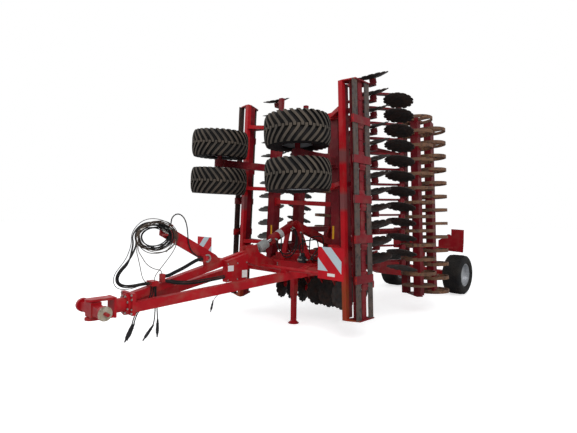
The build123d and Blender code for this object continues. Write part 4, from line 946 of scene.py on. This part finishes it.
# Each tower hose's far end, and how it leaves the block and comes to that end
TOWER_HOSES = (
    ((0.190, 0.135, 1.350), (0.03, -0.07, 0.12), (0.08, -0.06, -0.03)),
    ((0.156, 0.130, 1.450), (0.05, -0.08, 0.16), (0.09, -0.07, -0.02)),
    ((0.360, 0.345, BEAM_TOP), (0.03, -0.10, 0.20), (-0.02, -0.03, 0.26)),
    ((0.440, 0.365, BEAM_TOP), (0.04, -0.03, 0.26), (0.01, -0.05, 0.32)),
    ((0.410, 0.330, BEAM_TOP), (0.10, -0.06, 0.02), (0.00, -0.06, 0.16)),
    ((0.480, 0.325, BEAM_TOP), (0.12, -0.05, 0.05), (0.02, -0.08, 0.13)),
    ((0.560, 0.350, BEAM_TOP), (0.14, 0.00, -0.01), (0.02, -0.08, 0.10)),
)
TOWER_RADIUS = 0.0095
DRAWBAR_HOSES, DRAWBAR_RADIUS = 3, 0.0085


def make_valve_block():
    """Valve block beside the drawbar's pivot; returns where its fittings end."""
    bm = bmesh.new()
    middle = at(*VALVE_BLOCK)
    plate(bm, middle, (0.130, 0.180, 0.100), None, 0.006)
    plate(bm, middle + Vector((0.0, 0.0, 0.075)), (0.070, 0.110, 0.050), None, 0.005)
    starts = []
    for i in range(4):
        place = middle + Vector((-0.045 + 0.030 * i, -0.06 + 0.035 * i, 0.050))
        fitting(bm, place, (0, 0, 1), material=1)
        starts.append(place + Vector((0, 0, 0.045)))
    for i in range(3):
        place = middle + Vector((0.065, -0.055 + 0.055 * i, 0.0))
        fitting(bm, place, (1, 0, 0), material=1)
        starts.append(place + Vector((0.045, 0, 0)))
    for i in range(2):
        fitting(bm, middle + Vector((-0.03 + 0.05 * i, -0.090, 0.0)), FORWARD, material=1)
    finished("pivot_valve_block", bm, [BLACK, ZINC], "frame")
    return starts


def make_cylinder_hose(i):
    """One of the two hoses that hang along the levelling cylinder, with its fittings."""
    low = at(0.068, -0.335 + 0.1 * i, 1.360 + 0.045 * i)
    high = at(0.066, 0.035 - 0.04 * i, 1.525 - 0.02 * i)
    x, drop = 0.110 + 0.022 * i, 0.045 * i
    points = [
        low, low + Vector((0.040, -0.01, -0.02)), at(x, -0.340 + 0.05 * i, 1.240 - drop),
        at(x + 0.01, -0.240, 1.130 - drop), at(x + 0.01, -0.080, 1.120 - drop), at(x, 0.060, 1.230 - drop),
        at(x, 0.085, 1.400 - drop), high + Vector((0.040, 0.015, -0.02)), high]
    lay_hose(f"cylinder_hose_{i + 1}", points, TOWER_RADIUS, body="drawbar_barrel")
    bm = bmesh.new()
    for place in (low, high):
        fitting(bm, place, (1, 0, -0.3), 0.045, 0.015)
    finished(f"cylinder_fittings_{i + 1}", bm, [ZINC], "drawbar_barrel")


def make_tower_hoses():
    """Hoses from the valve block to the tower and the beams, along the cylinder and along the drawbar."""
    for i, (start, (end, leave, arrive)) in enumerate(zip(make_valve_block(), TOWER_HOSES)):
        end, leave, arrive = at(*end), Vector(leave), Vector(arrive)
        middle = (start + leave + end + arrive) / 2
        lay_hose(
            f"tower_hose_{i + 1}",
            [end, end + arrive * 0.5, end + arrive, middle, start + leave, start + leave * 0.5, start],
            TOWER_RADIUS, body="frame")
    for i in range(2):
        make_cylinder_hose(i)
    for i in range(DRAWBAR_HOSES):
        x, z = 0.060 + 0.018 * (i % 2), 0.905 - 0.017 * i
        points = [
            at(x + 0.02, -1.285, z), at(x + 0.01, -1.400, z - 0.012), at(x, -1.560, z - 0.022),
            at(x - 0.01, -1.780, z - 0.030), at(x, -1.960, z - 0.010), at(x + 0.01, -2.080, z + 0.020),
            at(x + 0.01, -2.175, 0.935 - 0.005 * i)]
        lay_hose(f"drawbar_hose_{i + 1}", points, DRAWBAR_RADIUS)
    bm = bmesh.new()
    for end, _, arrive in TOWER_HOSES:
        arrive = Vector(arrive)
        fitting(bm, at(*end) - arrive.normalized() * 0.006, arrive, 0.04, 0.014)
    finished("tower_fittings", bm, [ZINC], "frame")


# Floor and light

SKY_STRENGTH = 0.50
# Name, watts, size in metres, place and what it is turned to
LAMPS = (
    ("key_lamp", 620, 7, (7, -6, 9), (0, 0, 1.5)),
    ("side_lamp", 200, 7, (-7, -6, 7), (0, 0, 1.5)),
)
FLOOR_TONE = 0.80
FLOOR_GLOW = 0.66


def make_stage():
    """White floor, a sky that looks white but lights softly, and two lamps."""
    bm = bmesh.new()
    bmesh.ops.create_grid(bm, x_segments=1, y_segments=1, size=60)
    mesh = bpy.data.meshes.new("floor")
    bm.to_mesh(mesh)
    bm.free()
    floor = bpy.data.objects.new("floor", mesh)
    bpy.context.scene.collection.objects.link(floor)
    floor.location.z = -0.002
    pale = Finish("floor_white", roughness=0.9)
    pale.shader.inputs["Base Color"].default_value = (FLOOR_TONE, FLOOR_TONE, FLOOR_TONE, 1)
    glow = pale.tree.nodes.new("ShaderNodeEmission")
    glow.inputs["Color"].default_value = (1, 1, 1, 1)
    seen = pale.tree.nodes.new("ShaderNodeLightPath")
    pale.join(pale.times(seen.outputs["Is Camera Ray"], FLOOR_GLOW), glow.inputs["Strength"])
    both = pale.tree.nodes.new("ShaderNodeAddShader")
    pale.join(pale.shader.outputs[0], both.inputs[0])
    pale.join(glow.outputs[0], both.inputs[1])
    pale.join(both.outputs[0], pale.tree.nodes["Material Output"].inputs["Surface"])
    mesh.materials.append(pale.material)
    # White to the camera and in reflections, soft and pale as a light
    world = bpy.data.worlds.new("sky")
    bpy.context.scene.world = world
    world.use_nodes = True
    tree = world.node_tree
    soft = tree.nodes["Background"]
    soft.inputs["Color"].default_value = (0.94, 0.97, 1.0, 1)
    soft.inputs["Strength"].default_value = SKY_STRENGTH
    white = tree.nodes.new("ShaderNodeBackground")
    white.inputs["Color"].default_value = (1, 1, 1, 1)
    white.inputs["Strength"].default_value = 1.0
    seen = tree.nodes.new("ShaderNodeLightPath")
    most = None
    for ray in ("Is Camera Ray", "Is Glossy Ray", "Is Transmission Ray"):
        if most is None:
            most = seen.outputs[ray]
            continue
        either = tree.nodes.new("ShaderNodeMath")
        either.operation = "MAXIMUM"
        tree.links.new(most, either.inputs[0])
        tree.links.new(seen.outputs[ray], either.inputs[1])
        most = either.outputs[0]
    mix = tree.nodes.new("ShaderNodeMixShader")
    tree.links.new(most, mix.inputs["Fac"])
    tree.links.new(soft.outputs[0], mix.inputs[1])
    tree.links.new(white.outputs[0], mix.inputs[2])
    tree.links.new(mix.outputs[0], tree.nodes["World Output"].inputs["Surface"])
    for name, energy, size, place, aim in LAMPS:
        lamp = bpy.data.lights.new(name, "AREA")
        lamp.energy = energy
        lamp.size = size
        holder = bpy.data.objects.new(name, lamp)
        bpy.context.scene.collection.objects.link(holder)
        holder.location = place
        holder.rotation_euler = (Vector(aim) - Vector(place)).to_track_quat("-Z", "Y").to_euler()


make_camera()
make_hoses()
make_tower_hoses()
dress_nodes()
make_tyres()
make_wing_details()
make_labels()
make_bolts()
make_stage()
bpy.context.scene.view_settings.view_transform = "Standard"
